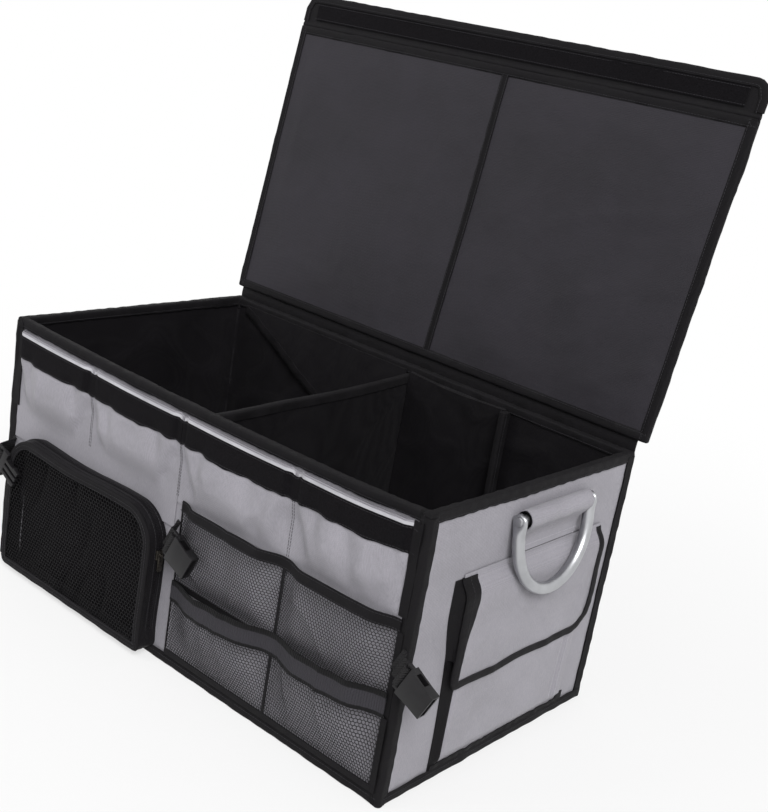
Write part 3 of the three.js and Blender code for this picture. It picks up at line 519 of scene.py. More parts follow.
def pocket_net(name="knitted net", base=None, specular=0.12):
    f = Finish(name, base or colours().net, 0.55, sheen=0.02, specular=specular)
    place = f.coordinates()
    f.patchy(f.noise(place, 0.05, 3.0), 0.8, 1.35)
    f.bump((0.06, f.ribs(place, 0.45, 0)), (0.06, f.ribs(place, 0.45, 2)))
    return f.material


def pouch_net():
    return pocket_net("black pouch net", colours().dark_net, 0.10)


def reflective_tape():
    f = Finish("silver reflective tape", colours().reflective, 0.42, specular=0.6)
    place = f.coordinates()
    beads = f.noise(place, 1.6, 2.0)
    f.patchy(f.noise(place, 0.05, 3.0), 0.82, 1.1)
    f.bump((0.25, f.noise(place, 0.12, 2.0)), (0.05, beads))
    return f.material


def elastic_band():
    f = Finish("woven elastic", colours().elastic, 0.75, sheen=0.02, specular=0.15)
    along = f.coordinates((1, 1, 1), uv=True)
    edge = f.maths("ABSOLUTE", f.maths("SUBTRACT", f.channels(along)[1], 11.0))
    f.shades(f.between(edge, 7.2, 7.8, 1.0, 0.0), 0.10, 1.0)
    f.bump((0.25, f.ribs(along, 1.3, 1)), (0.3, f.ribs(along, 2.6, 0)))
    return f.material


def webbing():
    f = Finish("ribbed webbing", colours().tape, 0.6, sheen=0.02, specular=0.22)
    place = f.coordinates(turn=(0, math.radians(25), 0))
    f.patchy(f.noise(place, 0.1, 3.0), 0.7, 1.6)
    f.bump((0.28, f.ribs(place, 2.2, 2)), (0.12, f.ribs(place, 1.1, 0)))
    return f.material


def fine_thread(f, scale, depth, grain, dark, light):
    place = f.coordinates()
    f.patchy(f.noise(place, scale, 2.0), dark, light)
    f.bump((depth, f.noise(place, grain, 2.0)))
    return f.material


def stitch_thread():
    f = Finish("sewing thread", colours().thread, 0.6, sheen=0.01, specular=0.2)
    return fine_thread(f, 0.8, 0.05, 3.0, 0.7, 1.4)


def pale_thread():
    f = Finish("pale sewing thread", tuple(min(1, 1.5 * c) for c in colours().grey), 0.7, specular=0.3)
    return fine_thread(f, 0.8, 0.05, 3.0, 0.75, 1.2)


def zip_coil():
    f = Finish("zip coil", colours().tape, 0.42, specular=0.35)
    return fine_thread(f, 0.6, 0.08, 1.5, 0.8, 2.2)


def buckle_plastic():
    f = Finish("moulded plastic", colours().plastic, 0.40, specular=0.26)
    place = f.coordinates()
    grain = f.noise(place, 1.4, 4.0)
    worn = f.noise(place, 0.12, 3.0)
    f.patchy(worn, 0.8, 1.5)
    f.roughness(worn, 0.36, 0.52)
    f.bump((0.03, grain))
    return f.material


def zip_metal():
    f = Finish("dark brass zip metal", colours().zinc, 0.34, metallic=0.85)
    place = f.coordinates()
    worn = f.noise(place, 0.35, 4.0)
    f.patchy(worn, 0.6, 2.4, 0.35, 0.65)
    f.roughness(worn, 0.28, 0.5)
    f.bump((0.05, f.noise(place, 0.9, 3.0)))
    return f.material


def handle_aluminium():
    f = Finish("satin aluminium", colours().aluminium, 0.34, metallic=1.0)
    place = f.coordinates()
    brushed = f.noise(f.coordinates((400, 400, 4000)), 0.4, 3.0)
    cloudy = f.noise(place, 0.05, 3.0)
    f.patchy(cloudy, 0.90, 1.08)
    f.roughness(f.maths("ADD", f.maths("MULTIPLY", brushed, 0.6), f.maths("MULTIPLY", cloudy, 0.4)), 0.28, 0.44)
    f.bump((0.03, brushed))
    return f.material


def plain_board():
    f = Finish("stiffener board", (0.26, 0.25, 0.23), 0.8)
    place = f.coordinates()
    f.shades(f.noise(place, 0.2, 4.0), 0.8, 1.15)
    f.bump((0.1, f.noise(place, 0.7, 3.0)))
    return f.material


FINISHES = {
    "lining": lining_oxford, "grey_oxford": grey_oxford, "black_oxford": black_oxford, "binding_tape": binding_tape,
    "loop_tape": loop_tape, "pocket_mesh": pocket_net, "pouch_mesh": pouch_net, "reflective_tape": reflective_tape,
    "elastic_band": elastic_band, "webbing": webbing, "zip_tape": zip_coil, "zip_metal": zip_metal,
    "buckle_plastic": buckle_plastic, "handle_aluminium": handle_aluminium,
    "stiffener_board": plain_board, "thread": stitch_thread, "pale_thread": pale_thread,
}
_made = {}


def finish(name):
    if name not in _made:
        _made[name] = FINISHES[name]()
    return _made[name]


# Pieces

def piece(name, shape, slot, body, stands_for=(), material=None, soft=False, sharp=38.0, ride=True):
    """A shape in millimetres becomes an object that rides on a body and may stand for CAD nodes."""
    points, faces, uvs = shape
    if soft:
        points = settle(points)
    mesh = bpy.data.meshes.new(name)
    mesh.from_pydata((points * MM).tolist(), [], faces)
    layer = mesh.uv_layers.new(name="UVMap")
    corners = np.zeros(len(mesh.loops), np.int64)
    mesh.loops.foreach_get("vertex_index", corners)
    layer.data.foreach_set("uv", np.asarray(uvs)[corners].astype(np.float32).ravel())
    build = bmesh.new()
    build.from_mesh(mesh)
    bmesh.ops.recalc_face_normals(build, faces=build.faces)
    build.to_mesh(mesh)
    build.free()
    mesh.shade_smooth()
    mesh.set_sharp_from_angle(angle=math.radians(sharp))
    mesh.materials.append(finish(material or slot))
    obj = bpy.data.objects.new(name, mesh)
    bpy.context.scene.collection.objects.link(obj)
    if stands_for:
        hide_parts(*stands_for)
    if ride:
        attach(obj, body)
    return obj


def node_copy(name, node, slot, body, bevel=0.4, material=None):
    """A CAD node's solid with rounded edges."""
    source = frame["nodes"][node]
    mesh = source.data.copy()
    mesh.name = name
    build = bmesh.new()
    build.from_mesh(mesh)
    bmesh.ops.remove_doubles(build, verts=build.verts, dist=0.00001)
    bmesh.ops.recalc_face_normals(build, faces=build.faces)
    bmesh.ops.dissolve_limit(build, angle_limit=math.radians(2), verts=build.verts, edges=build.edges)
    build.to_mesh(mesh)
    build.free()
    mesh.materials.clear()
    mesh.materials.append(finish(material or slot))
    obj = bpy.data.objects.new(name, mesh)
    bpy.context.scene.collection.objects.link(obj)
    if bevel:
        round_edges = obj.modifiers.new("Rounded edges", "BEVEL")
        round_edges.width = bevel * MM
        round_edges.segments = 2
        round_edges.limit_method = "ANGLE"
        round_edges.angle_limit = math.radians(35)
        round_edges.use_clamp_overlap = True
        apply_modifiers(obj)
    obj.data.shade_smooth()
    obj.data.set_sharp_from_angle(angle=math.radians(30))
    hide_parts(node)
    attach(obj, body)
    return obj


def apply_modifiers(obj):
    graph = bpy.context.evaluated_depsgraph_get()
    mesh = bpy.data.meshes.new_from_object(obj.evaluated_get(graph), depsgraph=graph)
    obj.modifiers.clear()
    obj.data = mesh


# Geometry Nodes

def open_tree(name, inputs):
    group = bpy.data.node_groups.new(name, "GeometryNodeTree")
    group.interface.new_socket("Geometry", in_out="INPUT", socket_type="NodeSocketGeometry")
    for label, default in inputs:
        socket = group.interface.new_socket(label, in_out="INPUT", socket_type="NodeSocketFloat")
        socket.default_value = default
    group.interface.new_socket("Material", in_out="INPUT", socket_type="NodeSocketMaterial")
    group.interface.new_socket("Geometry", in_out="OUTPUT", socket_type="NodeSocketGeometry")
    source = group.nodes.new("NodeGroupInput")
    target = group.nodes.new("NodeGroupOutput")
    return group, source, target


def close_tree(group, source, target, geometry):
    """Realizes what is left as instances, sets the material and joins the output."""
    real = fed(group, "GeometryNodeRealizeInstances", {0: geometry})
    paint = fed(group, "GeometryNodeSetMaterial",
                {"Geometry": real.outputs[0], "Material": source.outputs["Material"]})
    group.links.new(paint.outputs[0], target.inputs["Geometry"])


def net_tree():
    """Opens a hole in each face of a sheet and gives the strands a thickness."""
    if "Knitted net" in bpy.data.node_groups:
        return bpy.data.node_groups["Knitted net"]
    group, source, target = open_tree("Knitted net", [("Opening", 0.7), ("Thickness", 0.0004)])
    given = source.outputs
    inset = fed(group, "GeometryNodeExtrudeMesh",
                {"Mesh": given["Geometry"], "Offset Scale": 0.0, "Individual": True}, mode="FACES")
    shrink = fed(group, "GeometryNodeScaleElements",
                 {"Geometry": inset.outputs["Mesh"], "Selection": inset.outputs["Top"], "Scale": given["Opening"]},
                 domain="FACE")
    hole = fed(group, "GeometryNodeDeleteGeometry",
               {"Geometry": shrink.outputs[0], "Selection": inset.outputs["Top"]}, domain="FACE")
    thick = fed(group, "GeometryNodeExtrudeMesh",
                {"Mesh": hole.outputs[0], "Offset Scale": given["Thickness"], "Individual": False}, mode="FACES")
    back = fed(group, "GeometryNodeFlipFaces", {"Mesh": hole.outputs[0]})
    both = fed(group, "GeometryNodeJoinGeometry", {0: back.outputs[0]})
    group.links.new(thick.outputs["Mesh"], both.inputs[0])
    weld = fed(group, "GeometryNodeMergeByDistance", {"Geometry": both.outputs[0], "Distance": 0.00002})
    close_tree(group, source, target, weld.outputs[0])
    return group


def bar_tree(name, sides, along):
    """Short bars on lines: threads laid end to end, or the turns of a zip's coil laid across."""
    if name in bpy.data.node_groups:
        return bpy.data.node_groups[name]
    group, source, target = open_tree(name, [("Pitch", 0.0034), ("Length", 0.0024), ("Radius", 0.00026)])
    given = source.outputs
    curve = fed(group, "GeometryNodeMeshToCurve", {"Mesh": given["Geometry"]})
    spaced = fed(group, "GeometryNodeResampleCurve", {"Curve": curve.outputs[0], "Length": given["Pitch"]},
                 mode="LENGTH")
    bar = fed(group, "GeometryNodeMeshCylinder",
              {"Vertices": sides, "Radius": given["Radius"], "Depth": given["Length"]}, fill_type="NGON")
    way = group.nodes.new("GeometryNodeInputTangent").outputs[0] if along else Y_WAY
    turn = fed(group, "FunctionNodeAlignRotationToVector", {"Vector": way}, axis="Z")
    laid = fed(group, "GeometryNodeInstanceOnPoints",
               {"Points": spaced.outputs[0], "Instance": bar.outputs["Mesh"], "Rotation": turn.outputs[0]})
    close_tree(group, source, target, laid.outputs[0])
    return group


def grown(name, mesh, group, values, slot, body, material=None):
    """Runs a tree on a mesh of lines or faces and keeps the result as a plain mesh."""
    obj = bpy.data.objects.new(name, mesh)
    bpy.context.scene.collection.objects.link(obj)
    modifier = obj.modifiers.new(group.name, "NODES")
    modifier.node_group = group
    values = dict(values, Material=finish(material or slot))
    for item in group.interface.items_tree:
        if item.in_out == "INPUT" and item.name in values:
            modifier[item.identifier] = values[item.name]
    apply_modifiers(obj)
    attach(obj, body)
    return obj


def lines_mesh(name, lines):
    """A mesh of open lines, given in millimetres."""
    points, edges, count = [], [], 0
    for path in lines:
        path = np.asarray(path, float)
        points.append(path)
        edges += [(count + k, count + k + 1) for k in range(len(path) - 1)]
        count += len(path)
    mesh = bpy.data.meshes.new(name)
    mesh.from_pydata((np.concatenate(points) * MM).tolist(), edges, [])
    return mesh


def stitches(name, lines, body, slot="binding_tape", material="thread", soft=False):
    if soft:
        lines = [settle(np.asarray(path, float)) for path in lines]
    values = {"Pitch": sizes().stitch_pitch, "Length": sizes().stitch_length, "Radius": sizes().thread}
    return grown(name, lines_mesh(name, lines), bar_tree("Stitches", 6, True), values, slot, body, material)


def net(name, low, high, surface, body, stands_for, inside=None, soft=False, material=None,
        pitch=None):
    """A knitted net over surface(a, b), with six-sided cells whose middles lie between low and high."""
    pitch = pitch or sizes().net_pitch
    side = pitch / math.sqrt(3)
    row_step = 1.5 * side
    index, corners, faces = {}, [], []
    rows = int((high[1] - low[1]) / row_step)
    for r in range(rows + 1):
        b = low[1] + r * row_step
        shift = pitch / 2 if r % 2 else 0.0
        for c in range(int((high[0] - low[0] - shift) / pitch) + 1):
            a = low[0] + shift + c * pitch
            if inside is not None and not inside(a, b):
                continue
            cell = []
            for k in range(6):
                angle = math.radians(60 * k + 30)
                p = (a + side * math.cos(angle), b + side * math.sin(angle))
                key = (round(p[0] * 20), round(p[1] * 20))
                found = next((index[key[0] + i, key[1] + j] for i in (0, -1, 1) for j in (0, -1, 1)
                              if (key[0] + i, key[1] + j) in index), None)
                if found is None:
                    found = index[key] = len(corners)
                    corners.append(p)
                cell.append(found)
            faces.append(cell)
    flat = np.array(corners)
    points = surface(flat[:, 0], flat[:, 1])
    if soft:
        points = settle(points)
    mesh = bpy.data.meshes.new(name)
    mesh.from_pydata((points * MM).tolist(), [], faces)
    values = {"Opening": sizes().net_opening, "Thickness": sizes().net_thickness}
    area = mesh_area(points, faces)
    obj = grown(name, mesh, net_tree(), values, "pocket_mesh", body, material)
    if stands_for:
        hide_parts(*stands_for)
    return obj, area


def mesh_area(points, faces):
    total = 0.0
    for face in faces:
        ring = points[face]
        total += 0.5 * np.linalg.norm(np.sum(np.cross(ring, np.roll(ring, -1, axis=0)), axis=0))
    return total


# Walls, boards and the bindings round them

def build_walls():
    for k, side in enumerate(("front", "rear", "left", "right")):
        depth, outward = {"front": (0.2, -1), "rear": (1.7, 1), "left": (1.3, -1), "right": (0.5, 1)}[side]
        node = f"{side}_skin"
        shape = box_slab(node, depth, 70.0, 10 + k, outward=outward)
        obj = piece(f"{side}_cloth", shape, "grey_oxford", "box", [node], soft=True)
        low, high = extent(node)
    for side, nodes in (("front", ("front_board_left", "front_board_right")),
                        ("rear", ("rear_board_left", "rear_board_right")),
                        ("left", ("side_board_left",)), ("right", ("side_board_right",))):
        shape = joined(*[box_slab(n, cell=24.0) for n in nodes])
        piece(f"{side}_boards", shape, "stiffener_board", "box", nodes, soft=True)
    # The rear wall folds on a line that is sewn between its two boards
    low, high = extent("rear_skin")
    zs = line(low[2] + 12.0, high[2] - 30.0, 4.0)
    rows = [spots(x, high[1] + 1.5, zs) for x in (-2.4, 2.4)]
    stitches("rear_stitches", rows, "box", slot="grey_oxford", material="pale_thread")
    base = piece("base_cloth", box_slab("bottom_panel"), "black_oxford", "box", ["bottom_panel"], material="lining")
    low, high = extent("bottom_panel")


def build_bindings():
    # Rim: a tape folded over the wall's top
    stand_off, over = 1.5, 9.1
    half = over / 2
    profile = folded_tape(half, 10.0, 1.2, 2.6, 0.25, 6.0, 2.4, 4)
    mid_x, mid_y = HALF_W + stand_off - half, HALF_D + stand_off - half
    path, facing = rounded_path(-mid_x, mid_x, -mid_y, mid_y, (4.6,) * 4, 4.0)
    origins, across = lifted(path, RIM_TOP), lifted(facing, 0.0)
    points, faces, uv = sweep(profile, origins, across, Z_WAY, closed=True)
    pucker = wave(points, 7.0, 31) * 0.28 + wave(points, 60.0, 32) * 0.35
    away = points - np.repeat(origins - Z_WAY * 4.0, len(profile), axis=0)
    away /= np.maximum(np.linalg.norm(away, axis=1), 1e-6)[:, None]
    points = points + away * pucker[:, None] * sizes().wrinkle
    # The closed lid presses the tape's top flat
    points[:, 2] -= 0.7 * np.maximum(0.0, points[:, 2] - RIM_TOP)
    shapes = [(points, faces, uv)]
    rise = np.array([(-15.0, 1.0), (-7.0, 1.0), (-2.8, 1.0), (-1.3, 0.93), (-0.3, 0.75), (0.05, 0.4)])
    fold = np.concatenate([arc((sx * 3.1, sy * 3.1), 2.6, start, start + 90, 5)
                           for sx, sy, start in ((1, 1, 0), (-1, 1, 90), (-1, -1, 180), (1, -1, 270))])
    for sx, sy in CORNERS:
        stations = spots(sx * (HALF_W - 3.6), sy * (HALF_D - 3.6), RIM_TOP + rise[:, 0])
        size = rise[:, 1:] * np.ones(3)
        cap = sweep(fold, stations, size * X_WAY, size * Y_WAY)
        shapes.append((cap[0] + 0.25 * wave(cap[0], 7.0, 37)[:, None], cap[1], cap[2]))
    piece("rim_tape", joined(*shapes), "binding_tape", "box", ["rim_binding"], soft=True, sharp=60)
    rows = [looped(origins + across * offset + Z_WAY * -8.2) for offset in (half + 0.35, -half - 0.35)]
    stitches("rim_stitches", rows, "box", soft=True)

    # Corners: a tape folded round each upright edge, and one round the foot
    shapes = []
    leg, stand = 12.0, 1.5
    zs = line(0.6, extent("edge_binding")[1][2] + 6.0, 8.0)
    plan = np.concatenate([[(0.9, -leg + stand), (1.7, -6.0 + stand)], arc((-1.6, -1.6), 3.7, 0, 90, 6),
                           [(-6.0 + stand, 1.7), (-leg + stand, 0.9)]])
    for sx, sy in CORNERS:
        shape = sweep(ribbon(plan, 0.62), spots(sx * HALF_W, sy * HALF_D, zs), sx * X_WAY, sy * Y_WAY)
        bulge = spots(sx * (1 + wave(shape[0], 11.0, 33)) * 0.35, sy * (1 + wave(shape[0], 11.0, 34)) * 0.35, 0.0)
        shapes.append((shape[0] + bulge * sizes().wrinkle, shape[1], shape[2]))
    path, facing = rounded_path(-HALF_W, HALF_W, -HALF_D, HALF_D, (3.0,) * 4, 5.0)
    origins, across = lifted(path, 0.0), lifted(facing, 0.0)
    foot = np.concatenate([[(1.7, leg), (2.4, leg - 0.4), (3.0, 5.5)], arc((0.2, 3.1), 2.9, 0, -90, 5),
                           [(-6.0, 0.2), (-6.0, 1.0), (0.3, 1.2), (0.35, 9.8)]])
    shape = sweep(foot, origins, across, Z_WAY, closed=True)
    push = np.repeat(across, len(foot), axis=0) * (wave(shape[0], 13.0, 35) * 0.4)[:, None] * sizes().wrinkle
    push[:, 2] = np.where(shape[0][:, 2] > 6, wave(shape[0], 22.0, 36) * 0.5, 0.0)
    shapes.append((shape[0] + push, shape[1], shape[2]))
    piece("edge_tape", joined(*shapes), "binding_tape", "box", ["edge_binding"], soft=True, sharp=60)
    rows = [looped(origins + across * 3.0 + Z_WAY * 8.0)]
    for sx, sy in CORNERS:
        x, y = sx * (HALF_W + 2.1), sy * (HALF_D + 2.1)
        rows += [spots(x, y - sy * 8.8, zs), spots(x - sx * 8.8, y, zs)]
    stitches("edge_stitches", rows, "box", soft=True)


# Inside

def divider_bow(points):
    """The divider bows a little to the right at its middle and top."""
    moved = points.copy()
    y, z = points[..., 1], points[..., 2]
    bow = 5.0 * np.cos(np.pi * np.clip(y / 322.0, -0.5, 0.5)) * smooth(z / 280.0)
    moved[..., 0] += bow + 0.6 * wave(points, 90, 41)
    moved[..., 2] -= 3.0 * np.cos(np.pi * np.clip(y / 322.0, -0.5, 0.5)) * smooth((z - 200) / 80.0)
    return moved


def build_interior():
    low, high = extent("lining")
    step = sizes().cell
    # One skirt of cloth round the four walls, and the floor sheet
    path, facing = rounded_path(low[0], high[0], low[1], high[1], (5.0,) * 4, step)
    zs = line(low[2] + 0.9, high[2], step)
    base = np.zeros((len(path), len(zs), 3))
    base[..., :2] = path[:, None]
    base[..., 2] = zs[None, :]
    normal = lifted(facing, 0.0)[:, None]
    depth = smooth((zs - 4) / 25.0) * smooth((high[2] - 12 - zs) / 30.0)
    rear = smooth((base[..., 1] - 100) / 50.0) * smooth(-base[..., 0] / 60.0)
    creases = crease(base, 85.0, 51) * 1.6 + crease(base, 45.0, 52) * (0.8 + 1.6 * rear)
    inward = creases * depth[None, :] * sizes().wrinkle
    inner = base - normal * (0.8 + inward[..., None])
    outer = base - normal * inward[..., None]
    skirt = slab(outer, inner, closed=True)
    xs, ys = line(low[0] + 1, high[0] - 1, 12.0), line(low[1] + 1, high[1] - 1, 12.0)
    floor = sheet_grid(xs, ys, 0, 1, low[2])
    obj = piece("lining_cloth", joined(skirt, slab(floor + [0, 0, 0.8], floor)), "black_oxford", "box", ["lining"],
                soft=True, material="lining")

    for side in ("left", "right"):
        node = f"floor_board_{side}"
        low, high = extent(node)
        xs, ys = line(low[0], high[0], 8.0), line(low[1], high[1], 8.0)
        top = sheet_grid(xs, ys, 0, 1)
        edge = from_edges(top, 0, 1, low, high)
        round_off = 1.6 * (1 - smooth(edge / 6.0))
        under = top.copy()
        top[..., 2] = high[2] - round_off + 0.25 * wave(top, 60.0, 53) * smooth(edge / 20)
        under[..., 2] = low[2]
        obj = piece(f"floor_pad_{side}", slab(top, under), "black_oxford", "box", [node], material="lining")

    low, high = extent("centre_divider")
    ys, zs = line(low[1], high[1], 8.0), line(low[2], high[2], 8.0)
    right, left = sheet_grid(ys, zs, 1, 2, high[0]), sheet_grid(ys, zs, 1, 2, low[0])
    puff = 0.7 * crease(right, 60.0, 54) * smooth((zs - 10) / 40)[None, :]
    right[..., 0] += puff
    left[..., 0] -= puff
    shape = slab(divider_bow(right), divider_bow(left))
    obj = piece("divider_panel", shape, "black_oxford", "box", ["centre_divider"], soft=True, material="lining")
    low, high = extent("divider_binding")
    ys = line(low[1], high[1], 4.0)
    half = (high[0] - low[0]) / 2
    profile = folded_tape(half, 10.0, 1.0, 2.2, 0.2, 5.0, 1.1, 3)
    points, faces, uv = sweep(profile, spots((high[0] + low[0]) / 2, ys, high[2]), X_WAY, Z_WAY)
    points[:, 0] += wave(points, 8.0, 55) * 0.2
    piece("divider_tape", (divider_bow(points), faces, uv), "binding_tape", "box", ["divider_binding"], soft=True,
          sharp=60)

    build_stowed_right()
    build_stowed_left()


def build_stowed_right():
    low, high = extent("stowed_divider_right")
    xs, zs = line(low[0], high[0] - 9.0, 4.0), line(low[2], high[2], 5.0)
    front, back = sheet_grid(xs, zs, 0, 2), sheet_grid(xs, zs, 0, 2, high[1])
    u = (xs - low[0]) / (xs[-1] - low[0])
    folds = 1.5 * np.sin(np.pi * u)[:, None] * (1 + 0.35 * wave(front, 70.0, 61)) + 1.2 * crease(front, 40.0, 62)
    front[..., 1] = high[1] - 5.2 - folds * sizes().wrinkle
    dip = 2.5 * np.sin(np.pi * u)[:, None] * smooth((front[..., 2] - 240) / 45)
    front[..., 2] -= dip
    back[..., 2] -= dip
    obj = piece("stowed_panel_right", slab(front, back), "black_oxford", "box", ["stowed_divider_right"], soft=True,
                material="lining")
    # The free edge is a bound strip that stands away from the wall
    zs = line(low[2], high[2] - 1, 4.0)
    depth = high[1] - low[1]
    profile = np.concatenate([[(-7.6, -depth + 2)], arc((-5.4, -depth + 2.4), 2.4, 180, 270, 3),
                              arc((-2.4, -depth + 2.4), 2.4, 270, 360, 3), [(0.0, -2.0), (-7.6, -2.0)]])
    origins = spots(high[0] + 1.2 * np.sin(zs / 60.0), high[1] + 0.9 * np.sin(zs / 43.0) - 0.9, zs)
    piece("stowed_edge_right", sweep(profile, origins, X_WAY, Y_WAY), "binding_tape", "box", soft=True, sharp=60)
    lines = [spots(origins[:, 0] + aside, origins[:, 1] - depth + 4.5, zs) for aside in (-7.9, 0.3)]
    stitches("stowed_stitches_right", lines, "box", soft=True)


def build_stowed_left():
    low, high = extent("stowed_divider_left")
    us, vs = np.linspace(0, 1, 64), np.linspace(0, 1, 34)
    grid = np.zeros((len(us), len(vs), 3))
    x = low[0] + (high[0] - low[0]) * us
    bottom = high[2] - (high[2] - low[2]) * (0.06 + 0.94 * us ** 1.08)
    grid[..., 0] = x[:, None]
    grid[..., 2] = high[2] + (bottom - high[2])[:, None] * vs[None, :]
    hang = np.sin(np.pi * us)[:, None] * vs[None, :]
    pleat = np.clip(np.sin(2 * np.pi * (us[:, None] * 3.1 + 0.12 * vs[None, :])), 0, 1) ** 2
    window = smooth((us - 0.28) / 0.2)[:, None] * smooth((1.02 - us) / 0.1)[:, None]
    bulge = 4.2 * pleat * window * (0.35 + 0.65 * vs[None, :]) + 1.6 * hang + 0.8 * crease(grid, 40.0, 65)
    front = grid.copy()
    front[..., 1] = high[1] - 1.6 - bulge * sizes().wrinkle
    back = grid.copy()
    back[..., 1] = front[..., 1] + 1.3
    obj = piece("stowed_cloth_left", slab(front, back), "black_oxford", "box", ["stowed_divider_left"], soft=True,
                material="lining")
    down, along = front[1:, :-1] - front[:-1, :-1], front[:-1, 1:] - front[:-1, :-1]
    area = sum(np.linalg.norm(np.cross(down, along), axis=-1).ravel())
    # The slanting lower edge is bound
    edge = front[:, -1]
    up = np.cross(unit(np.gradient(edge, axis=0)), -Y_WAY)
    up *= np.sign(up[:, 2])[:, None]
    profile = [(1.3, -1.0), (1.5, 4.0), (1.2, 9.0), (0.2, 9.2), (0.1, 0.4), (-1.6, 0.4), (-1.8, -1.0), (-0.2, -1.8)]
    piece("stowed_tape_left", sweep(profile, edge, -Y_WAY, up), "binding_tape", "box", soft=True, sharp=60)


# Pockets on the front

def bays(x, seams, slope):
    """0 on the seams and 1 over each bay."""
    d = np.min([np.abs(x - s) for s in seams], axis=0)
    return smooth((d - SEAM_HALF) / slope)


def front_points(x, z, stand):
    x, z, stand = np.broadcast_arrays(x, z, stand)
    return np.stack([x, -HALF_D - stand, z], -1)


# Folds in the upper pockets: place along the front, lean, width and depth
POCKET_FOLDS = ((-268, 0.25, 8, 3.0), (-178, -0.30, 9, 4.0), (-126, 0.20, 10, 3.0), (-38, -0.35, 11, 4.5),
                (16, 0.25, 9, 4.5), (96, -0.20, 12, 3.0), (172, 0.30, 10, 5.0), (224, -0.25, 12, 4.0),
                (268, 0.20, 9, 3.0))


def pocket_folds(x, z):
    """How deep the long folds lie, deepest between the foot and the band."""
    deep = sum(depth * np.exp(-((x - place - lean * (z - 225.0)) / width) ** 2)
               for place, lean, width, depth in POCKET_FOLDS)
    return deep * smooth((z - 184.0) / 22.0) * smooth((264.0 - z) / 18.0)


def upper_stand(x, z):
    """How far the upper pockets' cloth stands off the front wall."""
    x, z = np.broadcast_arrays(np.asarray(x, float), np.asarray(z, float))
    high = smooth((z - 225.0) / 25.0)
    bay = np.maximum(bays(x, UPPER_SEAMS, 22.0) * (1 - high) + bays(x, UPPER_SEAMS, 9.0) * high,
                     0.45 * high * bays(x, UPPER_SEAMS[::4], 9.0))
    rise = smooth((z - 186.0) / 34.0)
    swell = 5.2 * bays(x, UPPER_SEAMS, 58.0) * np.sin(np.pi * np.clip((z - 180.0) / 86.0, 0, 1))
    d = np.min([np.abs(x - s) for s in UPPER_SEAMS], axis=0)
    drag = 2.1 * np.sin(2 * np.pi * (d + 0.34 * (z - 186.0)) / 29.0)
    drag = drag * np.exp(-((d - 22) / 18.0) ** 2) * rise * (1 - high)
    flat = front_points(x, z, 0.0)
    rumple = 2.2 * crease(flat, 56.0, 71) * bay * smooth((z - 186) / 20) * smooth((256 - z) / 14)
    loose = (swell + drag + rumple - pocket_folds(x, z)) * sizes().wrinkle
    return 0.35 + np.maximum(0.25 * bay * rise, 6.9 * bay * rise + loose)


def mouth_dip(x, z):
    """The pocket mouths hang down a little at each seam and between seams."""
    d = np.min([np.abs(x - s) for s in UPPER_SEAMS], axis=0)
    high = smooth((z - 196.0) / 84.0)
    return -high * (2.6 * np.exp(-(d / 5.0) ** 2) + 0.5 * bays(x, UPPER_SEAMS, 60.0))


def upper_sheet(xs, zs, lift, thick):
    x, z = np.meshgrid(xs, zs, indexing="ij")
    stand = upper_stand(x, z) + lift
    dip = mouth_dip(x, z)
    return front_points(x, z + dip, stand + thick), front_points(x, z + dip, stand)


def build_upper_pockets():
    halves = {"left": (UPPER_SEAMS[0], UPPER_SEAMS[2] - 0.3), "right": (UPPER_SEAMS[2] + 0.3, UPPER_SEAMS[4])}
    low, high = extent("upper_pockets_left")
    for side, (x0, x1) in halves.items():
        foot = low[2] - (30.0 if side == "left" else 0.0)
        outer, inner = upper_sheet(line(x0, x1, 3.2), line(foot, high[2], 3.6), 0.0, 1.1)
        obj = piece(f"pocket_cloth_{side}", slab(outer, inner), "grey_oxford", "box", [f"upper_pockets_{side}"],
                    soft=True)
        band_low, band_high = extent(f"loop_band_{side}")
        outer, inner = upper_sheet(line(x0, x1, 3.2), line(band_low[2], band_high[2], 2.5), 1.3, 1.1)
        ragged = 0.5 * wave(outer, 9.0, 73)
        outer[:, 0, 2] += ragged[:, 0]
        inner[:, 0, 2] += ragged[:, 0]
        obj = piece(f"brushed_band_{side}", slab(outer, inner), "loop_tape", "box", [f"loop_band_{side}"], soft=True)
    low, high = extent("reflective_strip")
    shapes = [slab(*upper_sheet(line(a + 2.2, b - 2.2, 3.2), line(low[2] + 0.3, low[2] + 3.2, 1.5), 1.3, 0.9))
              for a, b in zip(UPPER_SEAMS, UPPER_SEAMS[1:])]
    piece("reflective_tape_strip", joined(*shapes), "reflective_tape", "box", ["reflective_strip"], soft=True)
    # Stitches along the band's edges, the hem and down the seams
    rows = []
    band = extent("loop_band_left")
    for z in (band[0][2] + 1.6, band[1][2] - 1.4):
        xs = line(UPPER_SEAMS[0] + 1, UPPER_SEAMS[4] - 1, 3.2)
        zz = np.full(len(xs), z)
        rows.append(front_points(xs, zz + mouth_dip(xs, zz), upper_stand(xs, zz) + 2.5))
    for x in UPPER_SEAMS[1:4]:
        for side in (-1.2, 1.2):
            zs = line(190.0, band[0][2] - 1, 4.0)
            xx = np.full(len(zs), x + side)
            rows.append(front_points(xx, zs + mouth_dip(xx, zs), upper_stand(xx, zs) + 1.2))
    stitches("pocket_stitches", rows, "box", soft=True)
    # A dark seam tape runs down the two outer seams below the band
    shapes = []
    for x in UPPER_SEAMS[:1] + UPPER_SEAMS[4:]:
        outer, inner = upper_sheet(line(x - 5.0, x + 5.0, 2.0), line(190.0, 281.0, 4.0), 1.2, 1.4)
        shapes.append(slab(outer, inner))
    piece("pocket_side_tape", joined(*shapes), "binding_tape", "box", soft=True)


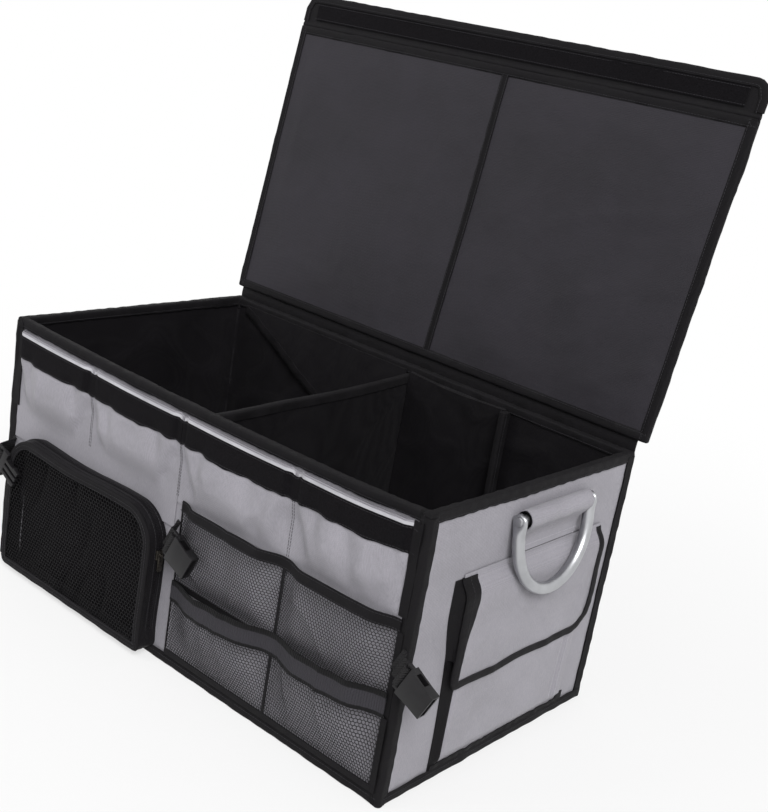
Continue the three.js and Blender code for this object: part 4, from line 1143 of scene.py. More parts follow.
def mesh_stand(x, z, back, mouth, low, top, slope, foot):
    x, z = np.broadcast_arrays(np.asarray(x, float), np.asarray(z, float))
    bay = bays(x, MESH_SEAMS, slope)
    rise = smooth((z - low - 5.0) / foot)
    sag = 2.4 * bays(x, MESH_SEAMS, 60.0) * np.sin(np.pi * np.clip((z - low) / (top - low), 0, 1))
    flat = front_points(x, 0.45 * z, 0.0)
    fold = 2.3 * crease(flat, 36.0, 84) * bay * rise
    return back + mouth * bay * rise + (sag + fold) * sizes().wrinkle


UPPER_NET = dict(back=1.95, mouth=7.9, low=92.0, top=188.0, slope=28.0, foot=30.0)
LOWER_NET = dict(back=3.3, mouth=11.5, low=13.0, top=98.0, slope=42.0, foot=52.0)


def lower_lean(x):
    """How much higher than its left end the lower mouth is."""
    low, high = extent("mesh_elastic_lower")
    return (high[2] - 98.0) * np.clip((x - low[0]) / (high[0] - low[0]), 0, 1)


def lower_height(x, z):
    return z + lower_lean(x) * smooth((z - 19.0) / 79.0)


def mesh_tape(xs, zs, place, lift, thick, lean=False):
    x, z = np.meshgrid(xs, zs, indexing="ij")
    stand = mesh_stand(x, z, **place) + lift
    height = lower_height(x, z) if lean else z
    return front_points(x, height, stand + thick), front_points(x, height, stand)


def build_mesh_pockets():
    x0, x1 = MESH_SEAMS[0], MESH_SEAMS[2]
    obj, area = net("net_upper", (x0 + 1.4, 94.0), (x1 - 1.4, 185.0),
                    lambda x, z: front_points(x, z, mesh_stand(x, z, **UPPER_NET)), "box",
                    ["mesh_pockets_upper"], soft=True)
    obj, area = net("net_lower", (x0 + 1.4, 15.0), (x1 - 1.4, 93.0),
                    lambda x, z: front_points(x, lower_height(x, z), mesh_stand(x, z, **LOWER_NET)), "box",
                    ["mesh_pockets_lower"], soft=True)

    xs = line(x0, x1, 3.2)
    outer, inner = mesh_tape(xs, line(176.0, 188.0, 2.0), UPPER_NET, 0.7, 1.2)
    fold = wave(outer, 14.0, 81) * 0.35
    outer[..., 1] -= np.abs(fold)
    obj = piece("net_binding_upper", slab(outer, inner), "binding_tape", "box", ["mesh_binding_upper"], soft=True)
    outer, inner = mesh_tape(xs, line(76.0, 98.0, 2.0), LOWER_NET, 0.7, 1.3, lean=True)
    gather = 0.45 * np.sin(outer[..., 0] / 1.7 + 1.5 * wave(outer, 40, 83)) + 0.3 * wave(outer, 9.0, 82)
    gather = np.abs(gather * sizes().wrinkle)
    outer[..., 1] -= gather
    inner[..., 1] -= gather * 0.5
    obj = piece("net_elastic_lower", slab(outer, inner), "elastic_band", "box", ["mesh_elastic_lower"], soft=True)

    # Slim tapes down the seams and along the feet of both nets
    shapes = []
    for x in MESH_SEAMS:
        a, b = max(x - 1.7, x0), min(x + 1.7, x1 + 3.0) if x < x1 else x1 + 5.0
        for place, zs, lean in ((UPPER_NET, line(92.0, 176.0, 5.0), False), (LOWER_NET, line(13.0, 76.0, 5.0), True)):
            shapes.append(slab(*mesh_tape(line(a, b, 1.5), zs, place, 0.6, 0.8, lean)))
    for place, zs, lean in ((UPPER_NET, line(92.0, 98.0, 2.0), False), (LOWER_NET, line(13.0, 19.5, 2.0), True)):
        shapes.append(slab(*mesh_tape(xs, zs, place, 0.6, 0.9, lean)))
    piece("net_seam_tapes", joined(*shapes), "binding_tape", "box", soft=True)
    zs = line(96.0, 175.0, 4.0)
    rows = [(xs, np.full(len(xs), z), 2.3) for z in (177.6, 186.4)]
    rows += [(np.full(len(zs), MESH_SEAMS[1] + side), zs, 1.5) for side in (-1.6, 1.6)]
    rows = [front_points(x, z, mesh_stand(x, z, **UPPER_NET) + lift) for x, z, lift in rows]
    stitches("net_stitches", rows, "box", soft=True)


# Zipped pouch

def pouch_sizes():
    low, high = extent("pouch_gusset")
    return low[0], high[0], low[2] - POUCH_SLUMP, high[2]


POUCH_SLUMP = 5.0
POUCH_RADII = (7.0, 38.0)


def pouch_path(offset, step=4.0):
    x0, x1, z0, z1 = pouch_sizes()
    low, high = POUCH_RADII[0] + offset, POUCH_RADII[1] + offset
    path, facing = rounded_path(x0 - offset, x1 + offset, z0 - offset, z1 + offset, (low, high, high, low), step)
    # The soft rim wanders a little, but not where the zip's runner sits
    runner = extent("zip_slider")
    away = np.hypot(path[:, 0] - runner[1][0], path[:, 1] - runner[0][2])
    wander = 2.4 * wave(upright(path, 0.0), 70.0, 95, 3)
    wander *= smooth((away - 25.0) / 60.0) * smooth((path[:, 1] - z0 + 4.0) / 30.0)
    return path + facing * wander[:, None] * sizes().wrinkle, facing


def pouch_inside(a, b, inset):
    """Whether a point of the pouch's face is more than inset inside its outline."""
    x0, x1, z0, z1 = pouch_sizes()
    x0, x1, z0, z1 = x0 + inset, x1 - inset, z0 + inset, z1 - inset
    if not (x0 < a < x1 and z0 < b < z1):
        return False
    radius = max(1.0, POUCH_RADII[1 if b > (z0 + z1) / 2 else 0] - inset)
    dx = max(x0 + radius - a, a - (x1 - radius), 0.0)
    dz = max(z0 + radius - b, b - (z1 - radius), 0.0)
    return dx * dx + dz * dz < radius * radius or dx == 0 or dz == 0


def build_pouch():
    low, high = extent("pouch_gusset")
    back, front = high[1], low[1]
    path, facing = pouch_path(0.0)
    ys = line(back, front, 3.0)
    outer = spots(path[:, None, 0], ys[None, :], path[:, None, 1])
    normal = upright(facing, 0.0)[:, None]
    t = (ys - back) / (front - back)
    # The zip keeps the middle of the gusset flat, and the cloth each side of it rolls
    roll = 0.5 * np.sin(2 * np.pi * t) ** 2
    push = (roll[None, :] + 0.35 * wave(outer, 16.0, 91) * np.sin(np.pi * t)[None, :]) * sizes().wrinkle
    push[:, np.abs(t - 0.5) < 0.18] *= 0.2
    inner = outer + normal * (push[..., None] - 1.2)
    outer = outer + normal * push[..., None]
    obj = piece("pouch_side_cloth", slab(outer, inner, closed=True), "black_oxford", "box", ["pouch_gusset"],
                material="lining")

    # A black sheet closes the pouch's back
    x0, x1, z0, z1 = (v + d for v, d in zip(pouch_sizes(), (1.6, -1.6, 1.6, -1.6)))
    zs = np.concatenate([z0 + (1 - np.cos(np.linspace(0, np.pi / 2, 7))) * POUCH_RADII[0],
                         line(z0 + POUCH_RADII[0], z1 - POUCH_RADII[1], 12.0)[1:],
                         z1 - (1 - np.sin(np.linspace(0, np.pi / 2, 10)))[1:] * POUCH_RADII[1]])
    radius = np.where(zs > (z0 + z1) / 2, POUCH_RADII[1], POUCH_RADII[0])
    reach = np.maximum(0.0, np.maximum(zs - (z1 - radius), z0 + radius - zs))
    trim = radius - np.sqrt(np.maximum(0.0, radius ** 2 - reach ** 2))
    share = np.linspace(0, 1, 25)
    sheet_front = spots((x0 + trim)[:, None] + (x1 - x0 - 2 * trim)[:, None] * share, back - 0.8, zs[:, None])
    obj = piece("pouch_back_cloth", slab(sheet_front, sheet_front + [0, 0.5, 0]), "black_oxford", "box",
                material="loop_tape")
    x0, x1, z0, z1 = pouch_sizes()

    # Front net in a broad bound border
    face = extent("pouch_piping")
    x_mid, z_mid = (x0 + x1) / 2, (z0 + z1) / 2

    def surface(x, z):
        u, w = (x - x_mid) / (x1 - x0) * 2, (z - z_mid) / (z1 - z0) * 2
        flat = np.stack([x, np.zeros_like(x), z], -1)
        dome = (1 - u * u) * (1 - w * w)
        slack = 2.6 * dome - 2.6 * crease(flat, 50.0, 93) * smooth(4 * dome)
        return np.stack([x, face[0][1] + 1.4 - slack * sizes().wrinkle, z], -1)

    obj, area = net("pouch_net", (x0 + 4.5, z0 + 4.5), (x1 - 4.5, z1 - 4.5), surface, "box", ["pouch_mesh"],
                    inside=lambda a, b: pouch_inside(a, b, 4.5), material="pouch_mesh",
                    pitch=sizes().pouch_pitch)
    path, facing = pouch_path(0.0)
    profile = np.concatenate([arc((-1.1, -1.7), 1.9, -60, 90, 5),
                              [(-3.6, -0.1), (-5.8, 0.3), (-8.0, -0.2), (-8.6, -0.7),
                               (-8.0, -1.2), (-4.0, -0.9), (-3.0, -3.2), (-1.0, -3.3)]])
    points, faces, uv = sweep(profile, upright(path, face[0][1]), upright(facing, 0.0), -Y_WAY, closed=True)
    points[:, 1] -= wave(points, 12.0, 94) * 0.3 * sizes().wrinkle
    piece("pouch_border", (points, faces, uv), "binding_tape", "box", ["pouch_piping"], sharp=60)
    rows = [looped(upright(pouch_path(-inset)[0], face[0][1] - 0.35)) for inset in (3.6, 7.4)]
    stitches("pouch_stitches", rows, "box")


def build_zip():
    low, high = extent("zip_chain")
    middle = (low[1] + high[1]) / 2
    path, facing = pouch_path(0.0, 3.0)
    keep = path[:, 1] > low[2]
    run, ways = path[keep], facing[keep]
    # The kept points start on the right and end on the left
    start = int(np.argmax(np.linalg.norm(np.diff(run, axis=0), axis=1))) + 1
    if np.linalg.norm(run[start] - run[start - 1]) > 20:
        run, ways = np.roll(run, -start, axis=0), np.roll(ways, -start, axis=0)
    origins, across = upright(run, middle), upright(ways, 0.0)
    profile = [(0.25, -6.2), (0.75, -6.0), (0.85, -2.2), (0.85, 2.2), (0.75, 6.0), (0.25, 6.2)]
    piece("zip_tape_strip", sweep(profile, origins, across, Y_WAY), "zip_tape", "box", ["zip_chain"],
          material="lining", sharp=60)
    lines = [origins + across * 1.35]
    values = {"Pitch": sizes().tooth_pitch, "Length": 0.0036, "Radius": 0.00052}
    grown("zip_teeth", lines_mesh("zip_teeth", lines), bar_tree("Zip teeth", 8, False), values, "zip_tape", "box")
    rows = [origins + across * 1.0 + Y_WAY * side for side in (-4.6, 4.6)]
    stitches("zip_stitches", rows, "box", slot="zip_tape")
    node_copy("zip_runner", "zip_slider", "zip_metal", "zip_slider", bevel=0.35)
    node_copy("zip_tab", "zip_pull", "zip_metal", "zip_pull", bevel=0.35)


# Buckles and straps

def build_buckles():
    for side in ("left", "middle", "right"):
        node_copy(f"clip_{side}", f"buckle_{side}", "buckle_plastic", f"buckle_{side}", bevel=0.55)
        node_copy(f"webbing_loop_{side}", f"strap_loop_{side}", "webbing", "box", bevel=0.35)


# D-handles

def handle_place(side):
    """Turns drawing coordinates (x out of the wall, y along it, z up) into the row frame."""
    pos = np.array(joint(f"handle_{side}_swing")["pos_m"]) / MM
    tilt = math.radians(-8.0 if side == "right" else 0.0)

    def place(points, swings=True):
        moved = np.asarray(points, float)
        if swings and tilt:
            moved = moved @ np.array(Matrix.Rotation(tilt, 3, "Y")).T
        if side == "left":
            moved = moved * [-1.0, -1.0, 1.0]
        return moved + pos
    return place


BOW_RADIUS, BOW_HALF, BOW_DROP = 6.0, 60.0, 78.0
BOW_SIDES = 24


def bow_ring(point, side_way):
    """One ring round the bow, pressed flat and rounded off where it reaches its lug."""
    press = smooth((point[2] + 13.0) / 11.0)
    end = max(0.0, (point[2] - 1.0) / 6.0)
    a, b = BOW_RADIUS + press * 2.0, BOW_RADIUS - press * 3.4
    a *= math.sqrt(max(0.04, 1.0 - end * end))
    turn = 2 * np.pi * np.arange(BOW_SIDES) / BOW_SIDES
    c, s = (np.copysign(np.abs(f) ** (1.0 - 0.35 * press), f) for f in (np.cos(turn), np.sin(turn)))
    return point + X_WAY * a * c[:, None] + side_way * b * s[:, None]


def build_handles():
    half, straight = BOW_HALF, BOW_DROP - BOW_HALF
    for side in ("right", "left"):
        place = handle_place(side)
        # Path from one lug, down the leg, round the bow and up the other leg
        leg = line(7.0, -straight, 3.0)
        path = [(0.0, -half, z) for z in leg[:-1]]
        path += [(0.0, -half * math.cos(a), -straight - half * math.sin(a)) for a in np.linspace(0, math.pi, 49)]
        path += [(0.0, half, z) for z in leg[::-1][1:]]
        path = np.array(path)
        side_ways = np.cross(unit(np.gradient(path, axis=0)), X_WAY)
        points = np.concatenate([bow_ring(*pair) for pair in zip(path, side_ways)])
        faces = tube_faces(len(path), BOW_SIDES) + end_caps(len(path), BOW_SIDES)
        piece(f"bow_{side}", (place(points), faces, np.zeros((len(points), 2))), "handle_aluminium",
              f"handle_{side}", [f"handle_bow_{side}"], sharp=50)
        node_copy(f"pin_{side}", f"handle_rod_{side}", "handle_aluminium", f"handle_{side}", bevel=1.2)
        build_sleeve(side, place)


def build_sleeve(side, place):
    """A cloth tube round the rod, whose two ends are sewn flat to the wall below it."""
    centre, tube = (0.0, 0.0), 8.9
    wall, foot = -8.4, -40.7  # the wall's face and the cloth's foot, from the handle's pivot
    outline = np.concatenate([
        [(wall + 0.6, foot), (wall + 0.6, foot + 14), (wall + 0.6, -9.0), (wall + 0.7, -3.0)],
        arc(centre, tube, 172, -38, 20),
        [(1.6, -12.5), (-3.6, -19.5), (wall + 3.0, -26.0), (wall + 3.2, foot + 8), (wall + 2.6, foot)]])
    profile = ribbon(outline, 0.55)
    ys = line(-53.0, 53.0, 3.5)
    grid = spots(profile[None, :, 0], ys[:, None], profile[None, :, 1])
    radial = grid * [1.0, 0.0, 1.0]
    radial /= np.maximum(np.linalg.norm(radial, axis=-1), 1e-6)[..., None]
    end = smooth((np.abs(ys) - 40) / 13.0)[:, None]
    lump = 0.45 * wave(grid, 26.0, 101) + 0.25 * wave(grid, 11.0, 102) + 0.5 * end
    lump *= smooth((grid[..., 2] + 26) / 20.0) * smooth((grid[..., 0] + 5) / 6.0) * sizes().wrinkle
    grid = grid + radial * lump[..., None]
    rows, columns = grid.shape[:2]
    faces = tube_faces(rows, columns)
    for i in (0, (rows - 1) * columns):
        faces += [[i + j, i + j + 1, i + columns - 2 - j, i + columns - 1 - j] for j in range(columns // 2 - 1)]
    points = place(grid.reshape(-1, 3), swings=False)
    obj = piece(f"sleeve_{side}", (points, faces, grid_uv(grid)), "grey_oxford", "box", [f"handle_sleeve_{side}"],
                sharp=55)
    core = sweep(ribbon(arc(centre, tube - 1.15, 165, -30, 18), 0.3), spots(0.0, ys * 0.992, 0.0), X_WAY, Z_WAY)
    piece(f"sleeve_lining_{side}", (place(core[0], swings=False), core[1], core[2]), "black_oxford", "box",
          material="binding_tape")
    rows = [spots(wall + 3.7, ys, z) for z in (foot + 2.5, foot + 9.0)]
    rows += [spots(wall + 3.7, y, line(foot + 3, foot + 9, 2.0)) for y in (-50.0, 50.0)]
    rows = [place(row, swings=False) for row in rows]
    stitches(f"sleeve_foot_stitches_{side}", rows[:1], "box")
    stitches(f"sleeve_stitches_{side}", rows[1:], "box", slot="grey_oxford", material="pale_thread")


# Side pocket

def pocket_stand(y, z):
    """How far the side pocket's cloth stands off the right wall."""
    low, high = extent("side_pocket")
    y, z = np.broadcast_arrays(np.asarray(y, float), np.asarray(z, float))
    d = np.minimum(y - low[1], high[1] - y)
    edge = smooth((d - 4.0) / 6.0)
    foot = smooth((z - low[2] - 4.0) / 9.0)
    depth = 5.0 + 2.4 * (z - low[2]) / (high[2] - low[2])
    flat = spots(0.0, y, z)
    rumple = (0.9 * crease(flat, 50.0, 111) + 0.6 * wave(flat, 90.0, 112)) * smooth(d / 25.0)
    box_pleat = -2.6 * np.exp(-((high[1] - 26.0 - y) / 2.6) ** 2)
    return 0.35 + (depth + 0.5 * rumple * sizes().wrinkle + box_pleat) * edge * foot


def build_side_pocket():
    low, high = extent("side_pocket")
    ys, zs = line(low[1], high[1], 2.6), line(low[2], high[2], 4.0)
    y, z = np.meshgrid(ys, zs, indexing="ij")
    stand = pocket_stand(y, z)
    inner = np.stack([HALF_W + stand, y, z], -1)
    outer = inner + [1.15, 0, 0]
    obj = piece("bellows_pocket", slab(outer, inner), "grey_oxford", "box", ["side_pocket"])
    # A dark gusset shows along the front, wide at the mouth, and a tape along the foot
    shapes, rows = [], []
    tall = line(low[2] - 2.0, high[2], 5.0)
    share = np.linspace(0, 1, 7)
    start = (low[1] - 2.0 - 9.0 * smooth((tall - 40.0) / 150.0))[:, None]
    out = 0.4 + 5.2 * smooth((share - 0.25) / 0.75) * smooth((tall - low[2]) / 12.0)[:, None]
    base = spots(HALF_W + out + 0.5 * np.sin(np.pi * share), start + (low[1] + 7.0 - start) * share, tall[:, None])
    shapes.append(slab(base + [0.9, 0, 0], base))
    for y0, y1, z0, z1 in ((low[1] - 1, high[1] + 1, low[2] - 1.0, low[2] + 3.5),
                           (high[1] - 9.0, high[1] + 3.0, low[2] - 2.0, low[2] + 9.0)):
        yy, zz = np.meshgrid(line(y0, y1, 2.0), line(z0, z1, 1.4), indexing="ij")
        bump = 0.8 * np.abs(wave(spots(0.0, yy, zz), 9.0, 113))
        base = spots(HALF_W + 1.7 + bump, yy, zz)
        shapes.append(slab(base + [1.0, 0, 0], base))
    piece("bellows_tapes", joined(*shapes), "binding_tape", "box")
    for offset in (20.0, 32.0):
        zs = line(low[2] + 14, high[2] - 2, 3.0)
        rows.append(spots(HALF_W + pocket_stand(high[1] - offset, zs) + 1.3, high[1] - offset, zs))
    stitches("bellows_stitches", rows, "box", slot="grey_oxford", material="pale_thread")
    build_side_flap()


def flap_profile(n=30):
    """The flap's line from its seam over the pocket's mouth and down, as (x, z, share of the way)."""
    low, high = extent("side_flap")
    pocket = extent("side_pocket")
    crest = pocket[1][2] + 1.2
    points = [(HALF_W + 0.9, high[2] - 0.2), (HALF_W + 1.0, high[2] - 7.0)]
    points += [(HALF_W + 5.2, crest + 8.5), (HALF_W + 8.9, crest + 2.0), (high[0] - 1.0, crest - 5.0)]
    points += [(high[0] - 1.2 - 1.2 * t, crest - 5.0 - (crest - 5.0 - low[2]) * t) for t in np.linspace(0.12, 1.0, 8)]
    points = np.array(points)
    length = np.concatenate([[0], np.cumsum(np.linalg.norm(np.diff(points, axis=0), axis=1))])
    at = np.linspace(0, length[-1], n)
    return np.stack([np.interp(at, length, points[:, 0]), np.interp(at, length, points[:, 1]), at / length[-1]], 1)


def build_side_flap():
    low, high = extent("side_flap")
    profile = flap_profile(34)
    profile[1:-1, :2] = (profile[:-2, :2] + 2 * profile[1:-1, :2] + profile[2:, :2]) / 4
    us = np.linspace(-1, 1, 84)
    middle, half = (low[1] + high[1]) / 2, (high[1] - low[1]) / 2
    t = profile[None, :, 2]
    grid = spots(profile[:, 0], middle + half * us[:, None], profile[:, 1])
    edge = np.abs(us)[:, None]
    corner = np.where(us > 0, 30.0, 9.0)[:, None]
    near = half * (1 - edge)
    curve = np.where(near < corner, corner - np.sqrt(np.maximum(0, corner ** 2 - (corner - near) ** 2)), 0.0)
    hang = smooth((t - 0.5) / 0.5)
    hem = 0.9 * np.sin(us * 4.1 + 0.7) + 0.6 * np.sin(us * 9.0 + 2.0)
    grid[..., 2] += (curve * hang ** 1.6) + hem[:, None] * hang ** 2
    lift = (1.0 * crease(grid, 60.0, 121) + 0.7 * wave(grid, 80.0, 122)) * smooth((t - 0.25) / 0.3) * sizes().wrinkle
    curl = 2.6 * smooth((edge - 0.93) / 0.07) * smooth((t - 0.3) / 0.4) * (us[:, None] > 0)
    grid[..., 0] += np.maximum(0.0, 0.2 + lift * 0.8) + curl * 0.6
    outer = grid + [1.0, 0.0, 0.35]
    obj = piece("flap_cloth", slab(outer, grid), "grey_oxford", "box", ["side_flap"])

    # Binding round the two sides and the lower edge, folded over the cloth's edge
    path = np.concatenate([outer[0, 1:-1], outer[:, -1], outer[-1, 1:-1][::-1]])
    keep = np.concatenate([[True], np.linalg.norm(np.diff(path, axis=0), axis=1) > 0.6])
    path = path[keep]
    inward = unit(np.cross(X_WAY, unit(np.gradient(path, axis=0))))
    middle_point = np.array([0, middle, (low[2] + high[2]) / 2])
    if np.sum((middle_point - path[len(path) // 2]) * inward[len(path) // 2]) < 0:
        inward = -inward
    fold = [(-0.1, 9.6), (0.9, 9.4), (1.15, 4.5), (1.0, -0.6), (0.0, -1.7),
            (-1.6, -1.2), (-1.75, 4.0), (-1.35, 4.0), (-1.2, 0.0), (-0.1, 0.3)]
    front = smooth((middle - half + 4.0 - path[:, 1]) / 3.0)
    broad = 0.75 + (0.25 + 0.9 * smooth((path[:, 2] - 135.0) / 60.0)) * front
    points, faces, uv = sweep(fold, path, X_WAY, inward * broad[:, None])
    points[:, 0] += np.abs(wave(points, 9.0, 123)) * 0.25
    piece("flap_tape", (points, faces, uv), "binding_tape", "box", ["side_flap_binding"], sharp=60)
    stitches("flap_stitches", [path + inward * 7.6 + X_WAY * 1.25], "box")
    # Dark gussets close the flap's two sides
    shapes = []
    for i, side in ((0, -1), (-1, 1)):
        rim = grid[i, 1:27]
        wall = rim.copy()
        wall[:, 0] = HALF_W + 0.8
        wall[:, 1] += side * (2.0 + 10.0 * smooth((rim[:, 2] - 115.0) / 70.0)) * (1.0 if side < 0 else 0.3)
        web = np.stack([rim, (rim + wall) / 2 - Y_WAY * side * 2.2, wall], 1)
        shapes.append(slab(web + Y_WAY * side * 0.3, web - Y_WAY * side * 0.3))
    piece("flap_gussets", joined(*shapes), "binding_tape", "box")


# Lid, drawn closed about its hinge line: x across, -y towards the free edge, z up

LID_HALF, LID_STACK = 309.0, 4.0


def lid_place(points):
    return rotated(np.asarray(points, float), "X", -OPEN_ANGLE, np.zeros(3)) + HINGE


def on_lid(*shapes):
    """Shapes drawn on the closed lid, joined and carried to the open one."""
    points, faces, uv = joined(*shapes)
    return lid_place(points), faces, uv


def lid_slab(outer, inner):
    return slab(lid_flare(outer), lid_flare(inner))


def lid_lines(lines):
    return [lid_place(lid_flare(points)) for points in lines]


def lid_flare(points):
    """The soft lid spreads a little towards its free edge."""
    moved = np.asarray(points, float).copy()
    t = np.clip(-moved[..., 1] / 350.0, 0, 1.15)
    moved[..., 0] *= 1.0 + 0.022 * t
    u = moved[..., 0] / LID_HALF
    moved[..., 2] += 2.2 * np.sin(np.pi * t) * (1 - u * u) * 0.5
    moved[..., 2] += corner_rise(moved[..., 0] + HINGE[0], moved[..., 1] + HINGE[1])
    return moved


def lid_panel(x0, x1, y0, y1, z, side, depth, seed, thick=0.9):
    xs, ys = line(x0, x1, 6.0), line(y0, y1, 6.0)
    grid = sheet_grid(xs, ys, 0, 1, z)
    edge = from_edges(grid, 0, 1, (x0, y0), (x1, y1))
    creases = 0.7 * wave(grid, 95.0, seed) + 0.8 * crease(grid, 70.0, seed + 1)
    puff = depth * smooth(edge / 40.0) + creases * smooth(edge / 30.0)
    puff = np.minimum(puff, 0.9 + 3.0 * smooth((edge - 20.0) / 25.0))  # the closed lid rests on the rim
    puff = np.maximum(0.0, puff) * sizes().wrinkle
    return grid + Z_WAY * side * (thick + puff)[..., None], grid + Z_WAY * side * puff[..., None]


def build_lid():
    half, stack = LID_HALF, LID_STACK
    front, rear = -(FLAP_LINE - 2.5), -7.6
    seam = 12.0 - HINGE[0]
    x0, x1 = -half + 2.0, half - 2.0
    for name, nodes, side, depth, slot, z in (
            ("lid_inside_cloth", ["lid_lining"], -1, 1.1, "black_oxford", -1.8),
            ("lid_outside_cloth", ["lid_cover"], 1, 1.3, "grey_oxford", 1.8)):
        pairs = [lid_panel(x0, seam - 1.5, front + 2, rear - 2, z, side, depth, 131 + side),
                 lid_panel(seam + 1.5, x1, front + 2, rear - 2, z, side, depth, 141 + side)]
        strip = sheet_grid(seam + np.array([-1.5, 0.0, 1.5]), line(front + 2, rear - 2, 6.0), 0, 1, z)
        pairs.append((strip + Z_WAY * side * 0.9, strip))
        obj = piece(name, on_lid(*(lid_slab(*pair) for pair in pairs)), slot, "lid", nodes)
    grids = [sheet_grid(line(a, b, 20.0), line(front + 5, rear - 5, 20.0), 0, 1)
             for a, b in ((x0 + 2, seam - 3), (seam + 3, x1 - 2))]
    piece("lid_boards", on_lid(*(lid_slab(grid + Z_WAY * 1.5, grid - Z_WAY * 1.5) for grid in grids)),
          "stiffener_board", "lid", ["lid_board_left", "lid_board_right"])

    # Binding folded round the panel's edge
    path, facing = rounded_path(-half, half, front, rear, (2.0,) * 4, 5.0)
    origins, across = lifted(path, 0.0), lifted(facing, 0.0)
    profile = np.concatenate([
        [(-10.0, -stack + 0.5), (-5.5, -stack + 0.1)], arc((-2.6, -0.9), 3.1, -90, 0, 4),
        arc((-2.6, 0.9), 3.1, 0, 90, 4), [(-5.5, stack + 0.2), (-10.0, stack - 0.3)],
        [(-10.0, stack - 1.3), (-1.6, stack - 1.3), (-1.6, -stack + 1.3), (-10.0, -stack + 1.3)]])
    points, faces, uv = sweep(profile, origins, across, Z_WAY, closed=True)
    pucker = wave(points, 8.0, 151) * 0.28 + wave(points, 45.0, 152) * 0.5
    pucker *= (points[:, 2] ** 2 < 9) * sizes().wrinkle
    points += np.repeat(across, len(profile), axis=0) * pucker[:, None]
    points[:, 2] += np.sign(points[:, 2]) * np.abs(wave(points, 9.0, 153)) * 0.15
    piece("lid_tape", (lid_place(lid_flare(points)), faces, uv), "binding_tape", "lid", ["lid_binding"], sharp=60)
    rows = [looped(origins + across * -8.4 + Z_WAY * z) for z in (-stack + 0.15, stack + 0.1)]
    # Tape over the middle seam, inside and outside
    shapes = []
    ys = line(front + 9.5, rear - 9.5, 5.0)
    profile = [(-4.5, 0.0), (-4.2, 0.75), (-1.2, 0.95), (0.0, 0.55), (1.2, 0.95), (4.2, 0.75), (4.5, 0.0)]
    for side in (-1, 1):
        origins = spots(seam + 0.5 * np.sin(ys / 40.0), ys, side * 3.0)
        points, faces, uv = sweep(profile, origins, X_WAY, Z_WAY * side)
        points[:, 0] += wave(points, 9.0, 154) * 0.2
        shapes.append((lid_flare(points), faces, uv))
        rows += [origins + [offset, 0, side * 0.95] for offset in (-3.2, 3.2)]
    piece("lid_middle_tape", on_lid(*shapes), "binding_tape", "lid", ["lid_seam_tape"], sharp=60)
    stitches("lid_stitches", lid_lines(rows), "lid")
    build_lid_flap(half)


def build_lid_flap(half):
    # Rolled seam between the panel and its flap
    ys = np.linspace(-(FLAP_LINE - 4.5), -(FLAP_LINE + 3.0), 9)
    grid = sheet_grid(line(-half, half, 6.0), ys, 0, 1)
    roll = 1.5 - 0.5 * np.cos(np.linspace(0, 2 * np.pi, len(ys)))
    roll = roll[None, :] + 0.2 * wave(grid, 8.0, 161)
    roll = Z_WAY * roll[..., None]
    obj = piece("flap_fold_tape", on_lid(lid_slab(grid + roll, grid - roll)), "binding_tape", "lid",
                ["lid_flap_seam"], sharp=60, ride=False)
    half_bend = 1.5 * (lid_place(-Y_WAY) - lid_place(np.zeros(3)))
    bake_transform(obj)

    # The flap itself: cloth bound round its edge, with rounded corners
    tip, root = -(FLAP_LINE + 35.0), -(FLAP_LINE + 1.4)
    corner = 16.0
    us, vs = line(-half, half, 5.0), np.linspace(0, 1, 9)
    near = half - np.abs(us)
    back = np.where(near < corner, corner - np.sqrt(np.maximum(0, corner ** 2 - (corner - near) ** 2)), 0.0)
    grid = spots(us[:, None], root + (tip + back[:, None] - root) * vs, 0.0)
    grid[..., 2] += 0.5 * wave(grid, 70.0, 162) * vs
    obj = piece("flap_panel", on_lid(lid_slab(grid + Z_WAY, grid - Z_WAY)), "black_oxford", "lid_flap",
                ["lid_flap"], material="binding_tape")

    path = np.concatenate([grid[0, 1:-1], grid[:, -1], grid[-1, 1:-1][::-1]])
    keep = np.concatenate([[True], np.linalg.norm(np.diff(path, axis=0), axis=1) > 0.5])
    path = path[keep]
    outward = unit(np.cross(unit(np.gradient(path, axis=0)), Z_WAY))
    if outward[len(path) // 2, 1] > 0:
        outward = -outward
    profile = np.concatenate([
        [(-7.5, -2.0), (-3.0, -2.4)], arc((-0.6, 0.0), 2.4, -80, 80, 6), [(-3.0, 2.4), (-7.5, 2.0)],
        [(-7.5, 1.2), (-0.5, 1.2), (-0.5, -1.2), (-7.5, -1.2)]])
    points, faces, uv = sweep(profile, path, outward, Z_WAY)
    points += np.repeat(outward, len(profile), axis=0) * (wave(points, 9.0, 163) * 0.25)[:, None]
    piece("flap_edge_tape", (lid_place(lid_flare(points)), faces, uv), "binding_tape", "lid_flap", sharp=60)

    # Hook band on the inner face
    xs, ys = line(-half + 20, half - 20, 6.0), line(tip + 8.5, tip + 8.5 + 20.0, 2.5)
    grid = sheet_grid(xs, ys, 0, 1)
    low_face = -1.3 + 0.5 * wave(grid, 70.0, 162) * np.clip((root - grid[..., 1]) / 33.6, 0, 1)
    inner = grid + Z_WAY * low_face[..., None]
    outer = grid + Z_WAY * (low_face - 1.3 - 0.2 * np.abs(wave(grid, 6.0, 165)))[..., None]
    obj = piece("hook_band", on_lid(lid_slab(outer, inner)), "loop_tape", "lid_flap", ["lid_flap_hook"])
    rows = [spots(xs, y, -2.75) for y in (ys[0] + 1.5, ys[-1] - 1.5)]
    rows += [path + outward * -5.5 + Z_WAY * z for z in (-2.3, 2.3)]
    stitches("flap_edge_stitches", lid_lines(rows), "lid_flap")


